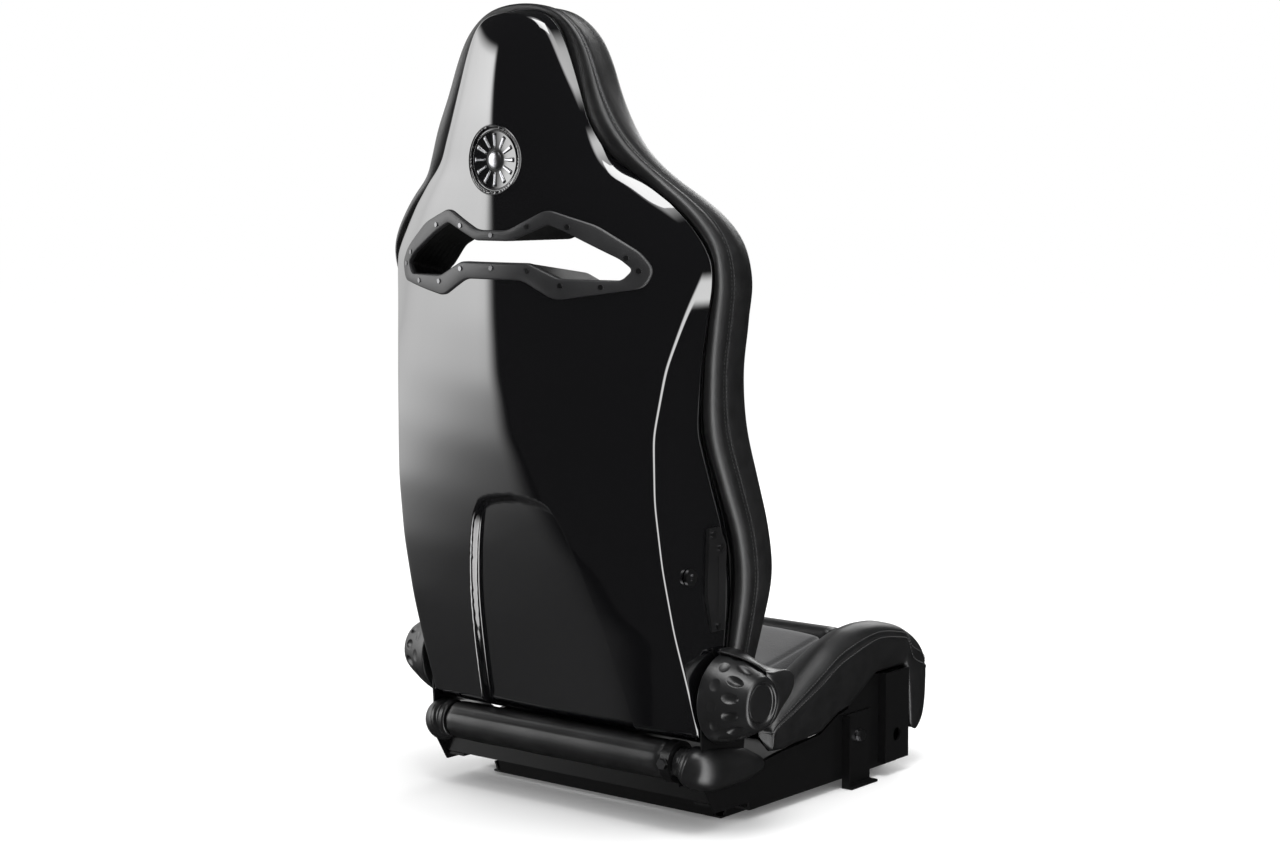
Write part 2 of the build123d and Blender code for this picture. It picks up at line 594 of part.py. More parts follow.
def make_channel_bracket():
    """Upright channel at the front of each side plate."""
    web = block(PLATE_OUT + 9, PLATE_OUT + 12, 515, 572, 19, 142)
    rear = block(PLATE_OUT, PLATE_OUT + 9, 515, 518, 19, 142)
    front = block(PLATE_OUT, PLATE_OUT + 9, 569, 572, 19, 142)
    channel = web + rear + front
    channel -= cylinder_x(543, 54, 9, 230, 245)
    return channel


def make_front_cross_tube():
    tube = cylinder_x(540, 84, 11, -PLATE_IN, PLATE_IN)
    return tube - cylinder_x(540, 84, 9, -230, 230)


def make_rear_cross_tube():
    tube = cylinder_x(ROLL_DEPTH, ROLL_Z, 14, -PLATE_IN, PLATE_IN)
    return tube - cylinder_x(ROLL_DEPTH, ROLL_Z, 12, -230, 230)


def make_rear_crossmember():
    """Folded channel between the side plates, below the padded tube."""
    channel = block(-PLATE_IN, PLATE_IN, 148, 192, 36, 56)
    channel -= block(-230, 230, 151, 200, 38.5, 53.5)
    return channel


def make_roll_cover():
    cover = cylinder_x(ROLL_DEPTH, ROLL_Z, ROLL_R, -176, 188)
    return cover - cylinder_x(ROLL_DEPTH, ROLL_Z, 14.3, -180, 190)


def make_roll_bracket():
    """Strap at the right end of the roll, bolted from behind."""
    strap = cylinder_x(ROLL_DEPTH, ROLL_Z, ROLL_R + 1.5, -192, -178)
    strap -= cylinder_x(ROLL_DEPTH, ROLL_Z, 14.3, -200, -170)
    tab = block(-192, -178, ROLL_DEPTH - 4, ROLL_DEPTH + 32, 57, 62)
    return strap + tab


def make_roll_collar():
    collar = cylinder_x(ROLL_DEPTH, ROLL_Z, ROLL_R, 190, 198)
    collar = fillet(collar.edges().filter_by(GeomType.CIRCLE).group_by(Axis.X)[0], 3)
    return collar - cylinder_x(ROLL_DEPTH, ROLL_Z, 14.3, 180, 205)


BOOT_OUTLINE = ((101, 84), (104, 64), (120, 50), (150, 43), (196, 41), (226, 52), (246, 82),
                (250, 112), (238, 132), (224, 142), (120, 142), (106, 112))


def make_hinge_boot():
    """Moulded cover round the rear corner of the frame, cradling the knob."""
    body = side_plate(BOOT_OUTLINE, 200, 243)
    body = fillet(body.edges().filter_by(Axis.X), 6)
    body = fillet(body.faces().sort_by(Axis.X)[-1].edges(), 7)
    body -= cylinder_x(AXIS_DEPTH, AXIS_Z, 73.5, 190, PLATE_IN + 0.7)
    body -= cylinder_x(AXIS_DEPTH, AXIS_Z, KNOB_RIM_R + 3, PLATE_IN, 260)
    body -= cylinder_x(ROLL_DEPTH, ROLL_Z, 14.3, 190, 232)
    cavity = side_plate(((124, 66), (150, 52), (196, 50), (240, 84), (246, 150), (124, 150)), 190, 238)
    body -= cavity
    body -= block(190, 240, 145, 260, 30, 60)
    # Slots for the side plate and the lip along its top edge.
    body -= block(PLATE_IN - 0.3, PLATE_OUT + 0.3, 118, 262, 20, 130)
    body -= block(PLATE_OUT, PLATE_OUT + 4.3, 203, 262, 60, 80)
    return max(body.solids(), key=lambda solid: solid.volume)


def make_boot_tongue():
    """Small plate under the boot, screwed to the crossmember."""
    tongue = block(196, 224, 150, 186, 31, 34.5)
    return tongue + Pos(210, ahead(166), 29.5) * Cylinder(4, 3)


def make_cushion_tray():
    """Pressed tray under the cushion, hung between the side plates."""
    tray = block(-PLATE_IN, PLATE_IN, 228, 560, 96, 98)
    for x in (-110, 0, 110):
        for depth in (300, 400, 500):
            tray -= Pos(x, ahead(depth), 97) * Cylinder(26, 10)
    tray -= block(-PLATE_IN, -198, 224, 462, 90, 100) + block(198, PLATE_IN, 224, 462, 90, 100)
    return tray


# ---------------------------------------------------------------- cushion
CUSHION_TOP = ((214, 138), (260, 140), (330, 143), (430, 156), (500, 170), (548, 180), (600, 172),
               (634, 142), (640, 112), (622, 80))
BOLSTER_TOP = ((258, 110), (266, 124), (295, 138), (350, 168), (400, 196), (440, 209), (480, 213),
               (520, 211), (565, 200), (604, 183), (632, 155), (645, 122), (640, 90), (624, 64),
               (600, 48), (584, 44))


def make_cushion_centre():
    outline = CUSHION_TOP[:6] + ((548, 101), (214, 101))
    return side_plate(outline, -148, 148)


def make_thigh_roll():
    outline = ((550, 101),) + ((550, 180),) + CUSHION_TOP[6:] + ((594, 66), (580, 80), (580, 101))
    return side_plate(outline, -148, 148)


def make_cushion_bolster():
    lower = ((584, 100), (574, 101), (574, 80), (300, 78), (258, 74))
    bolster = side_plate(BOLSTER_TOP + lower, 150, 238)
    clearance = [(depth, z + 4) for depth, z in PLATE_TOP_EDGE]
    below_plate = [(200, 30), (200, 70)] + clearance[1:-1] + [(580, 145), (580, 30)]
    bolster -= side_plate(below_plate, 222, 250)
    bolster -= block(140, 222.5, 200, 582, 60, 101)
    return bolster


# ---------------------------------------------------------------- fasteners
def make_floor_bolts():
    bolts = []
    for x in (-188, 188):
        for depth in (250, 340, 430, 530):
            head = Pos(x, ahead(depth), 18.5) * Cylinder(6, 5)
            bolts.append(head)
    return bolts


def make_bracket_bolts():
    bolt = hex_bolt_x(464, 66, PLATE_OUT + 3, 9, outward=1)
    return [bolt, mirror_x(bolt)]


def make_roll_bolt():
    """Hexagon bolt that clamps the roll bracket, seen from behind."""
    head_plane = Plane.XZ.offset(-ahead(ROLL_DEPTH - ROLL_R - 1.5))
    head = extrude(head_plane * Pos(-185, ROLL_Z + 2) * RegularPolygon(7.2, 6), amount=-5)
    return head


write("back_shell", make_back_shell())
write("slot_bezel_rear", make_slot_bezel_rear())
write("slot_bezel_front", make_slot_bezel_front())
write("slot_liner", make_slot_liner())
write_group("bezel_screws", make_bezel_screws())
write("edge_seal", make_edge_seal())
write("badge_ring", make_badge_ring())
write("badge_disc", make_badge_disc())
write_pair("frame_side", make_frame_side())
write_group("fold_bushes", [make_fold_bush(), mirror_x(make_fold_bush())])
write("frame_lower_tube", make_frame_tube(*LOWER_TUBE, 10))
write("frame_upper_tube", make_frame_tube(*UPPER_TUBE, 9))
write_group("back_springs", make_back_springs())
write("lumbar_panel", make_lumbar_panel())
write("release_cable", make_release_cable())
write_pair("flank_cover", make_flank_cover())
write_group("flank_screws", make_flank_screws())
write_group("flank_bolts", make_flank_bolts())
write_pair("side_bolster", make_side_bolster())
write("centre_pad", make_centre_pad())
write("head_pad", make_head_pad())
write_group("recliner_housings", [make_recliner_housing(), mirror_x(make_recliner_housing())])
write_group("recliner_gears", [make_recliner_gear(), mirror_x(make_recliner_gear())])
write_pair("recliner_arm", make_recliner_arm())
write("torque_tube", make_torque_tube())
write("recliner_shaft", make_recliner_shaft())
write_pair("knob", make_knob())
write_group("knob_caps", [make_knob_cap(), mirror_x(make_knob_cap())])
write_pair("release_lever", make_release_lever())
write_group("lever_bushes", [make_lever_bush(), mirror_x(make_lever_bush())])
write("base_pan", make_base_pan())
write_pair("side_plate", make_side_plate())
write_pair("foot_bracket", make_foot_bracket())
write_pair("channel_bracket", make_channel_bracket())
write("front_cross_tube", make_front_cross_tube())
write("rear_cross_tube", make_rear_cross_tube())
write("rear_crossmember", make_rear_crossmember())
write("roll_cover", make_roll_cover())
write("roll_bracket", make_roll_bracket())
write("roll_collar", make_roll_collar())
write_pair("hinge_boot", make_hinge_boot())
write_group("boot_tongues", [make_boot_tongue(), mirror_x(make_boot_tongue())])
write("cushion_tray", make_cushion_tray())
write("cushion_centre", make_cushion_centre())
write("thigh_roll", make_thigh_roll())
write_pair("cushion_bolster", make_cushion_bolster())
write_group("floor_bolts", make_floor_bolts())
write_group("hex_bolts", make_bracket_bolts() + [make_roll_bolt()])
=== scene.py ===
import json
import math

import bmesh
import bpy
import numpy as np
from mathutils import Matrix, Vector


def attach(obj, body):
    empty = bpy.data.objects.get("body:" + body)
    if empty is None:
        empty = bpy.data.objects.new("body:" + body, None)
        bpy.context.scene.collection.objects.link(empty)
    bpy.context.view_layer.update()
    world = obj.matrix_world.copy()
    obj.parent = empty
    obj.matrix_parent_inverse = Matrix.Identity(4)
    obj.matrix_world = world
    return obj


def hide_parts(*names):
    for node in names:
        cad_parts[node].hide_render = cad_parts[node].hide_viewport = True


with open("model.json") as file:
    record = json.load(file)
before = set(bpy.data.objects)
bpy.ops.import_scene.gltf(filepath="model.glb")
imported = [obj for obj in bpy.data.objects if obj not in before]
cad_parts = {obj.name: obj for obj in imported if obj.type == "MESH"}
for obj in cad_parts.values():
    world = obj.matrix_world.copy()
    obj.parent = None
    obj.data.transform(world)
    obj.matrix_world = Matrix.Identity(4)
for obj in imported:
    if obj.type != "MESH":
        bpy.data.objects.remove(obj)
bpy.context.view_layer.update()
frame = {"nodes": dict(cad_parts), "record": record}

# All sizes below are millimetres; meshes are written in metres.
MM = 0.001
BACK_Y = 388.0            # rearmost plane of the shell; depths run forward from it
AXIS_DEPTH = 165.0
AXIS_Z = 168.0
BADGE_Z = 828.0
BADGE_HOLE = 39.0         # radius of the opening in the shell behind the badge ring


# ---------------------------------------------------------------- curve and mesh helpers
def smooth_curve(pairs, spread=10.0):
    """(position, value) pairs as a dense curve, softened so that reflections run clean."""
    at = np.array([p for p, _ in pairs], float)
    values = np.array([v for _, v in pairs], float)
    grid = np.arange(at[0], at[-1] + 1.0)
    return grid, soften(np.interp(grid, at, values), spread)


def soften(dense, spread):
    reach = int(3 * spread)
    kernel = np.exp(-0.5 * (np.arange(-reach, reach + 1) / spread) ** 2)
    padded = np.pad(dense, reach, mode="reflect", reflect_type="odd")
    return np.convolve(padded, kernel / kernel.sum(), "valid")


def read(curve, position):
    return np.interp(position, *curve)


def mix(a, b, t):
    return a + (b - a) * t


def smoothstep(t):
    t = np.clip(t, 0.0, 1.0)
    return t * t * (3 - 2 * t)


def resample(points, count, closed=False):
    """Points spread evenly along a polyline of any dimension."""
    points = np.asarray(points, float)
    if closed:
        points = np.vstack([points, points[:1]])
    steps = np.linalg.norm(np.diff(points, axis=0), axis=1)
    along = np.concatenate([[0], np.cumsum(steps)])
    places = np.linspace(0, along[-1], count + (1 if closed else 0))
    spread = np.stack([np.interp(places, along, points[:, k]) for k in range(points.shape[1])], 1)
    return spread[:-1] if closed else spread


def round_corners(loop, radius):
    """Closed loop with every corner replaced by a short curve."""
    loop = np.asarray(loop, float)
    rounded = []
    for before, corner, after in zip(np.roll(loop, 1, 0), loop, np.roll(loop, -1, 0)):
        back, ahead = before - corner, after - corner
        start = corner + back * min(0.45, radius / np.linalg.norm(back))
        finish = corner + ahead * min(0.45, radius / np.linalg.norm(ahead))
        rounded += [start * (1 - t) ** 2 + corner * 2 * t * (1 - t) + finish * t ** 2
                    for t in np.linspace(0, 1, 7)]
    return np.array(rounded)


def catmull(points, per_span, closed=True):
    """Catmull-Rom curve through points; points may be (n, ...) with any trailing shape."""
    points = np.asarray(points, float)
    n = len(points)
    out = []
    for i in range(n if closed else n - 1):
        p0, p1, p2, p3 = (points[(i + k) % n] if closed else points[min(max(i + k, 0), n - 1)]
                          for k in (-1, 0, 1, 2))
        for t in np.linspace(0, 1, per_span, endpoint=False):
            out.append(0.5 * (2 * p1 + (p2 - p0) * t + (2 * p0 - 5 * p1 + 4 * p2 - p3) * t ** 2
                              + (3 * p1 - p0 - 3 * p2 + p3) * t ** 3))
    if not closed:
        out.append(points[-1])
    return np.array(out)


def place(x, depth, z):
    """Stack coordinates given as X, depth and Z into row-frame millimetres."""
    x, depth, z = np.broadcast_arrays(np.asarray(x, float), depth, z)
    return np.stack([x, BACK_Y - depth, z], axis=-1)


def add_mesh(name, verts, faces, material, body, node=None):
    """Smooth-shaded piece that rides a body and may replace one or more CAD nodes."""
    mesh = bpy.data.meshes.new(name)
    mesh.from_pydata((np.asarray(verts) * MM).tolist(), [], [tuple(int(i) for i in f) for f in faces])
    mesh.validate()
    obj = bpy.data.objects.new(name, mesh)
    bpy.context.scene.collection.objects.link(obj)
    work = bmesh.new()
    work.from_mesh(mesh)
    bmesh.ops.remove_doubles(work, verts=work.verts, dist=2e-6)
    bmesh.ops.recalc_face_normals(work, faces=work.faces)
    work.to_mesh(mesh)
    work.free()
    for polygon in mesh.polygons:
        polygon.use_smooth = True
    obj.data.materials.append(material)
    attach(obj, body)
    if node:
        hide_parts(*([node] if isinstance(node, str) else node))
    return obj


def grid_faces(rows, cols, wrap_rows=False, wrap_cols=False, start=0):
    faces = []
    for r in range(rows if wrap_rows else rows - 1):
        for c in range(cols if wrap_cols else cols - 1):
            a, b = (r % rows) * cols, ((r + 1) % rows) * cols
            d, e = c % cols, (c + 1) % cols
            faces.append((start + a + d, start + a + e, start + b + e, start + b + d))
    return faces


def tube_mesh(loops):
    """Verts and faces of closed loops joined in order, with fanned ends."""
    loops = np.asarray(loops)
    rows, cols, _ = loops.shape
    verts = np.vstack([loops.reshape(-1, 3), loops[0].mean(0), loops[-1].mean(0)])
    faces = grid_faces(rows, cols, wrap_cols=True)
    first, last = rows * cols, rows * cols + 1
    faces += [(first, (c + 1) % cols, c) for c in range(cols)]
    faces += [(last, (rows - 1) * cols + c, (rows - 1) * cols + (c + 1) % cols) for c in range(cols)]
    return verts, faces


def two_sided(top, bottom):
    """Verts and faces of two facing grids that meet at their edges."""
    rows, cols, _ = top.shape
    faces = grid_faces(rows, cols)
    faces += [tuple(rows * cols + i for i in f[::-1]) for f in faces]
    return np.vstack([top.reshape(-1, 3), bottom.reshape(-1, 3)]), faces


def ring_mesh(loops):
    """Verts and faces of closed loops joined in order and back to the first."""
    loops = np.asarray(loops)
    rows, cols, _ = loops.shape
    return loops.reshape(-1, 3), grid_faces(rows, cols, wrap_rows=True, wrap_cols=True)


def mirrored(verts):
    return np.asarray(verts) * np.array([-1.0, 1.0, 1.0])


def add_pair(name, verts, faces, material, body, node):
    """The same piece on the left and, mirrored, on the right."""
    left = add_mesh(f"{name}_left", verts, faces, material, body.format("left"), f"{node}_left")
    right = add_mesh(f"{name}_right", mirrored(verts), faces, material, body.format("right"),
                     f"{node}_right")
    return left, right


def modify(obj, kind, **settings):
    modifier = obj.modifiers.new(kind.lower(), kind)
    for key, setting in settings.items():
        setattr(modifier, key, setting)
    return modifier


# ---------------------------------------------------------------- materials
def new_material(name, colour, roughness, **inputs):
    material = bpy.data.materials.new(name)
    material.use_nodes = True
    shader = material.node_tree.nodes["Principled BSDF"]
    shader.inputs["Base Color"].default_value = (*colour, 1.0)
    shader.inputs["Roughness"].default_value = roughness
    for key, setting in inputs.items():
        shader.inputs[key.replace("_", " ")].default_value = setting
    return material


def node(material, kind, **inputs):
    made = material.node_tree.nodes.new(kind)
    for key, setting in inputs.items():
        made.inputs[key].default_value = setting
    return made


def link(material, source, output, target, entry):
    material.node_tree.links.new(source.outputs[output], target.inputs[entry])


def object_space(material):
    return node(material, "ShaderNodeTexCoord")


def vary(material, source, output, low, high, entry):
    """Drive a shader input from a texture, mapped from low to high."""
    ramp = node(material, "ShaderNodeMapRange", **{"To Min": low, "To Max": high})
    link(material, source, output, ramp, "Value")
    link(material, ramp, "Result", material.node_tree.nodes["Principled BSDF"], entry)


def add_bump(material, source, output, strength, distance, below=None):
    bump = node(material, "ShaderNodeBump", Strength=strength, Distance=distance)
    link(material, source, output, bump, "Height")
    if below:
        link(material, below, "Normal", bump, "Normal")
    link(material, bump, "Normal", material.node_tree.nodes["Principled BSDF"], "Normal")
    return bump


def tint(material, source, output, dark, light):
    """Colour variation between two close shades."""
    ramp = node(material, "ShaderNodeValToRGB")
    for stop, position, colour in zip(ramp.color_ramp.elements, (0.3, 0.7), (dark, light)):
        stop.position = position
        stop.color = (*colour, 1.0)
    link(material, source, output, ramp, "Fac")
    link(material, ramp, "Color", material.node_tree.nodes["Principled BSDF"], "Base Color")


def noise(material, scale, detail=4.0, rough=0.55):
    texture = node(material, "ShaderNodeTexNoise", Scale=scale, Detail=detail, Roughness=rough)
    link(material, object_space(material), "Object", texture, "Vector")
    return texture


def gloss_material():
    """Piano-black lacquer: deep coat, faint orange peel, light wiping marks."""
    material = new_material("gloss_lacquer", (0.004, 0.004, 0.0045), 0.05,
                            Coat_Weight=1.0, Coat_Roughness=0.018, Coat_IOR=1.55)
    peel = noise(material, 260.0, 2.0)
    add_bump(material, peel, "Fac", 0.012, 0.0004)
    wipe = noise(material, 6.0, 6.0, 0.65)
    vary(material, wipe, "Fac", 0.03, 0.075, "Roughness")
    return material


def leather_material(name, dark, light):
    """Fine-grained leather: pebble cells, soft creases and a patchy sheen."""
    material = new_material(name, dark, 0.45, Specular_IOR_Level=0.5, Coat_Weight=0.12,
                            Coat_Roughness=0.35)
    space = object_space(material)
    warp = noise(material, 55.0, 3.0)
    shift = node(material, "ShaderNodeMixRGB", Fac=0.012)
    link(material, space, "Object", shift, "Color1")
    link(material, warp, "Color", shift, "Color2")
    cells = node(material, "ShaderNodeTexVoronoi", Scale=620.0)
    cells.feature = "DISTANCE_TO_EDGE"
    link(material, shift, "Color", cells, "Vector")
    pores = noise(material, 1500.0, 2.0)
    creases = noise(material, 42.0, 7.0, 0.6)
    coarse = add_bump(material, creases, "Fac", 0.10, 0.0012)
    grain = add_bump(material, cells, "Distance", 0.35, 0.0006, below=coarse)
    add_bump(material, pores, "Fac", 0.10, 0.0002, below=grain)
    sheen = noise(material, 9.0, 5.0)
    vary(material, sheen, "Fac", 0.36, 0.52, "Roughness")
    tint(material, creases, "Fac", dark, light)
    return material


def fabric_material():
    """Suede weave with a soft, patchy nap for the seat centres."""
    material = new_material("centre_suede", (0.016, 0.016, 0.017), 0.85, Sheen_Weight=0.45,
                            Sheen_Roughness=0.5, Specular_IOR_Level=0.25)
    space = object_space(material)
    weave = node(material, "ShaderNodeTexVoronoi", Scale=420.0)
    link(material, space, "Object", weave, "Vector")
    fibres = noise(material, 900.0, 6.0, 0.7)
    nap = noise(material, 14.0, 6.0, 0.6)
    base = add_bump(material, weave, "Distance", 0.4, 0.0006)
    add_bump(material, fibres, "Fac", 0.35, 0.0004, below=base)
    tint(material, nap, "Fac", (0.012, 0.012, 0.013), (0.030, 0.030, 0.032))
    vary(material, nap, "Fac", 0.75, 0.95, "Roughness")
    return material


def plastic_material(name, colour, rough, grain=0.18):
    """Moulded plastic with a fine spark-eroded texture."""
    material = new_material(name, colour, rough, Specular_IOR_Level=0.5)
    texture = noise(material, 1400.0, 3.0, 0.6)
    add_bump(material, texture, "Fac", grain, 0.0003)
    patches = noise(material, 18.0, 5.0)
    vary(material, patches, "Fac", rough - 0.06, rough + 0.08, "Roughness")
    lighter = tuple(c * 1.5 for c in colour)
    tint(material, patches, "Fac", colour, lighter)
    return material


def coat_material(name, colour):
    """Powder coat over steel."""
    material = new_material(name, colour, 0.32, Specular_IOR_Level=0.5)
    texture = noise(material, 700.0, 3.0)
    add_bump(material, texture, "Fac", 0.22, 0.0004)
    patches = noise(material, 22.0, 6.0)
    vary(material, patches, "Fac", 0.26, 0.4, "Roughness")
    return material


def metal_material(name, colour, rough):
    material = new_material(name, colour, rough, Metallic=1.0)
    brushed = noise(material, 180.0, 5.0, 0.7)
    vary(material, brushed, "Fac", rough - 0.08, rough + 0.12, "Roughness")
    add_bump(material, brushed, "Fac", 0.06, 0.0002)
    tint(material, brushed, "Fac", tuple(c * 0.8 for c in colour), colour)
    return material


GLOSS = gloss_material()
LEATHER = leather_material("black_leather", (0.0065, 0.0065, 0.007), (0.013, 0.013, 0.0135))
FABRIC = fabric_material()
SATIN = plastic_material("satin_plastic", (0.009, 0.009, 0.0094), 0.34)
TRIM = plastic_material("bezel_plastic", (0.018, 0.018, 0.019), 0.42, 0.25)
LINER = plastic_material("liner_plastic", (0.004, 0.004, 0.004), 0.5, 0.4)
RUBBER = plastic_material("seal_rubber", (0.005, 0.005, 0.005), 0.7, 0.3)
COAT = coat_material("powder_coat", (0.005, 0.005, 0.0053))
# Pale coat for the bevels of the powder-coated parts: painted highlights along their edges.
COAT_PAINTED_HIGHLIGHT = coat_material("coat_painted_highlight", (0.13, 0.13, 0.135))
STEEL = metal_material("bare_steel", (0.42, 0.42, 0.43), 0.35)
BADGE_METAL = metal_material("badge_metal", (0.50, 0.50, 0.52), 0.28)
BLACK_OXIDE = metal_material("black_oxide", (0.20, 0.20, 0.205), 0.3)
THREAD = new_material("black_thread", (0.022, 0.022, 0.023), 0.6, Sheen_Weight=0.3)
THREAD_TWIST = noise(THREAD, 1200.0, 2.0)
add_bump(THREAD, THREAD_TWIST, "Fac", 0.5, 0.0003)

# ---------------------------------------------------------------- back shell
HALF_OUTLINE = ((223, 127), (222, 190), (219, 260), (216, 340), (213, 420), (212, 500), (222, 580),
                (236, 640), (246, 680), (248, 705), (238, 725), (223, 745), (199, 770), (162, 800),
                (141, 815), (125, 830), (105, 870), (91, 910), (75, 950), (66, 970), (58, 985),
                (46, 997), (28, 1004), (0, 1006))
CREASE_DEPTH = smooth_curve(((127, 121), (190, 100), (260, 77), (340, 58), (420, 47), (500, 46),
                             (580, 57), (640, 73), (680, 84), (705, 87), (740, 83), (770, 72),
                             (800, 57), (830, 42), (870, 36), (910, 36), (950, 33), (985, 31),
                             (1008, 29)), 12)
CENTRE_DEPTH = smooth_curve(((127, 110), (187, 92), (245, 75), (342, 47), (400, 32), (480, 15),
                             (555, 5), (630, 1), (700, 0), (830, 0), (885, 1), (925, 4),
                             (963, 9), (992, 17), (1008, 26)), 14)
EDGE_DEPTH = smooth_curve(((127, 166), (190, 170), (230, 177), (290, 186), (350, 181), (390, 171),
                           (430, 155), (470, 138), (510, 125), (590, 115), (670, 105), (750, 92),
                           (790, 81), (830, 59), (870, 46), (950, 50), (1008, 50)), 10)
DRAFT = smooth_curve(((127, 1.5), (240, 5), (340, 9), (700, 12), (830, 9), (985, 7), (1008, 6)), 10)
ARCH_LEG = ((129, 120), (123, 167), (114, 226), (103, 284), (87, 342), (73, 381), (60, 400),
            (38, 410), (0, 415))
ARCH_Z = [z for _, z in ARCH_LEG]
ARCH_X = [x for x, _ in ARCH_LEG]
ARCH_TOP = 430.0           # the recess ends below this height
ARCH_DEPTH = 13.0
SHELL_WALL = 3.2
SHELL_FILLET = 7.0         # radius of the crease between back and flank
ARCH_WALL = 4.6            # width of the sloping wall along the legs
ARCH_CROWN_WALL = 8.5      # and over the crown
LIP_RADIUS = 60.0          # the lip stays this far from the recline axis
LIP_END = 90.0             # degrees round the axis, from straight behind to straight below
SLOT_HALF = ((0, 730), (28, 730), (81, 751), (106, 741), (170, 710), (184, 698), (172, 685),
             (97, 686), (54, 704), (0, 704))
BEZEL_HALF = ((0, 743), (25, 743), (80, 769), (141, 750), (192, 718), (207, 698), (197, 676),
              (91, 660), (46, 683), (0, 683))


def whole_loop(half):
    """Mirror a half outline that starts and ends on the centre line."""
    return np.array(list(half) + [(-x, z) for x, z in reversed(half[1:-1])], float)


def inside(loop, x, z):
    """Even-odd test of points against a closed loop."""
    hit = np.zeros(np.shape(x), bool)
    for (x0, z0), (x1, z1) in zip(loop, np.roll(loop, -1, axis=0)):
        if z0 == z1:
            continue
        crosses = (z0 > z) != (z1 > z)
        hit ^= crosses & (x < (x1 - x0) * (z - z0) / (z1 - z0) + x0)
    return hit


def shell_outline(count):
    """Left half of the crease line, from the lower corner to the crown."""
    full = np.array(list(HALF_OUTLINE) + [(-x, z) for x, z in reversed(HALF_OUTLINE[:-1])], float)
    dense = resample(full, 1600)
    dense = np.stack([soften(dense[:, 0], 7), soften(dense[:, 1], 7)], 1)
    return resample(dense[:800], count)


OUTLINE = shell_outline(380)
WIDTH_BY_Z = (OUTLINE[:, 1], OUTLINE[:, 0])


def skin_depth(x, z):
    """Depth of the back face of the shell at a point, without the arched recess."""
    width = np.maximum(np.interp(z, *WIDTH_BY_Z), 1.0)
    centre = read(CENTRE_DEPTH, z)
    rise = np.maximum(read(CREASE_DEPTH, z) - centre, 1.0)
    radius = (width ** 2 + rise ** 2) / (2 * rise)
    share = np.clip(np.abs(x) / width, 0, 1)
    arc = radius - np.sqrt(np.maximum(radius ** 2 - (share * width) ** 2, 0))
    return centre + mix(rise * share ** 2, arc, np.clip(width / 90, 0, 1))


def arch_drop(x, z):
    """Depth of the arched recess at a point: a sloping wall with rounded edges."""
    leg = catmull(ARCH_LEG, 70, closed=False)
    loop = np.vstack([leg, leg[::-1] * [-1, 1]])
    near = np.full(np.shape(x), 1e9)
    for px, pz in loop:
        near = np.minimum(near, (x - px) ** 2 + (z - pz) ** 2)
    wall = mix(ARCH_WALL, ARCH_CROWN_WALL, smoothstep((z - 370) / 40))
    share = np.where(inside(loop, x, z), np.sqrt(near), 0) / wall
    return ARCH_DEPTH * mix(np.clip(share, 0, 1), smoothstep(share), 0.6)


def shell_lip(edge):
    """Rows that turn the lower edge forward, along the swing of the backrest."""
    ahead, below = AXIS_DEPTH - edge[:, 2], AXIS_Z - edge[:, 1]
    reach, turn = np.hypot(ahead, below), np.arctan2(below, ahead)
    on_flank = smoothstep((np.abs(edge[:, 0]) - 214) / 9)
    finish = mix(math.radians(LIP_END), turn, on_flank)
    lip = []
    for share in np.linspace(1.0, 0.08, 12):
        angle = mix(turn, np.maximum(finish, turn), share)
        radius = mix(reach, LIP_RADIUS, smoothstep(share * 1.6))
        lip.append(np.stack([edge[:, 0], AXIS_Z - radius * np.sin(angle),
                             AXIS_DEPTH - radius * np.cos(angle)], 1))
    return lip


def make_shell():
    """Skin in rows of (x, z, depth) up the outline: back face, crease fillet, flank."""
    half_cols = 104
    even = np.linspace(0, 1, half_cols)
    rows = []
    tangent = np.gradient(OUTLINE, axis=0)
    normal = np.stack([tangent[:, 1], -tangent[:, 0]], 1)
    normal /= np.linalg.norm(normal, axis=1)[:, None]
    for (width, z), (nx, nz) in zip(OUTLINE, normal):
        crease = read(CREASE_DEPTH, z)
        edge = read(EDGE_DEPTH, z)
        draft = read(DRAFT, z)
        keep = min(SHELL_FILLET, width * 0.5)
        # Columns crowd round the arch's steep leg, and spread evenly above it.
        leg = max(float(np.interp(z, ARCH_Z, ARCH_X)), 60.0)
        crowded = np.interp(even, (0, 0.30, 0.74, 1), (0, leg - 9, leg + 3, width - keep))
        x = mix(crowded, even * (width - keep), smoothstep((z - ARCH_TOP) / 90))
        height = np.full(half_cols, z)
        depth = skin_depth(x, height)
        if z < ARCH_TOP:
            depth = depth + arch_drop(x, height)
        start = np.array([x[-1], z, depth[-1]])
        corner = np.array([width, z, crease])
        side = np.array([width + nx * draft, z + nz * draft, edge])
        towards = (side - corner) / np.linalg.norm(side - corner)
        finish = corner + towards * SHELL_FILLET
        bend = [start * (1 - t) ** 2 + corner * 2 * t * (1 - t) + finish * t ** 2
                for t in np.linspace(0.1, 1, 9)]
        flank = [mix(finish, side, t) for t in np.linspace(0.06, 1, 16)]
        profile = np.vstack([np.stack([x, height, depth], 1), bend, flank])
        left = profile[::-1]
        right = profile[1:] * [-1, 1, 1]
        rows.append(np.vstack([left, right]))
    rows = np.array(shell_lip(rows[0]) + rows)
    verts = place(rows[..., 0], rows[..., 2], rows[..., 1])
    count, cols = rows.shape[:2]
    faces = np.array(grid_faces(count, cols))
    flat = rows.reshape(-1, 3)
    middle = flat[faces].mean(axis=1)
    grown = whole_loop([mix(np.array(a, float), np.array(b, float), 0.45)
                        for a, b in zip(SLOT_HALF, BEZEL_HALF)])
    on_back = middle[:, 2] < read(CREASE_DEPTH, middle[:, 1]) + 2
    cut = inside(grown, middle[:, 0], middle[:, 1]) & on_back
    cut |= np.hypot(middle[:, 0], middle[:, 1] - BADGE_Z) < BADGE_HOLE
    return verts.reshape(-1, 3), faces[~cut]


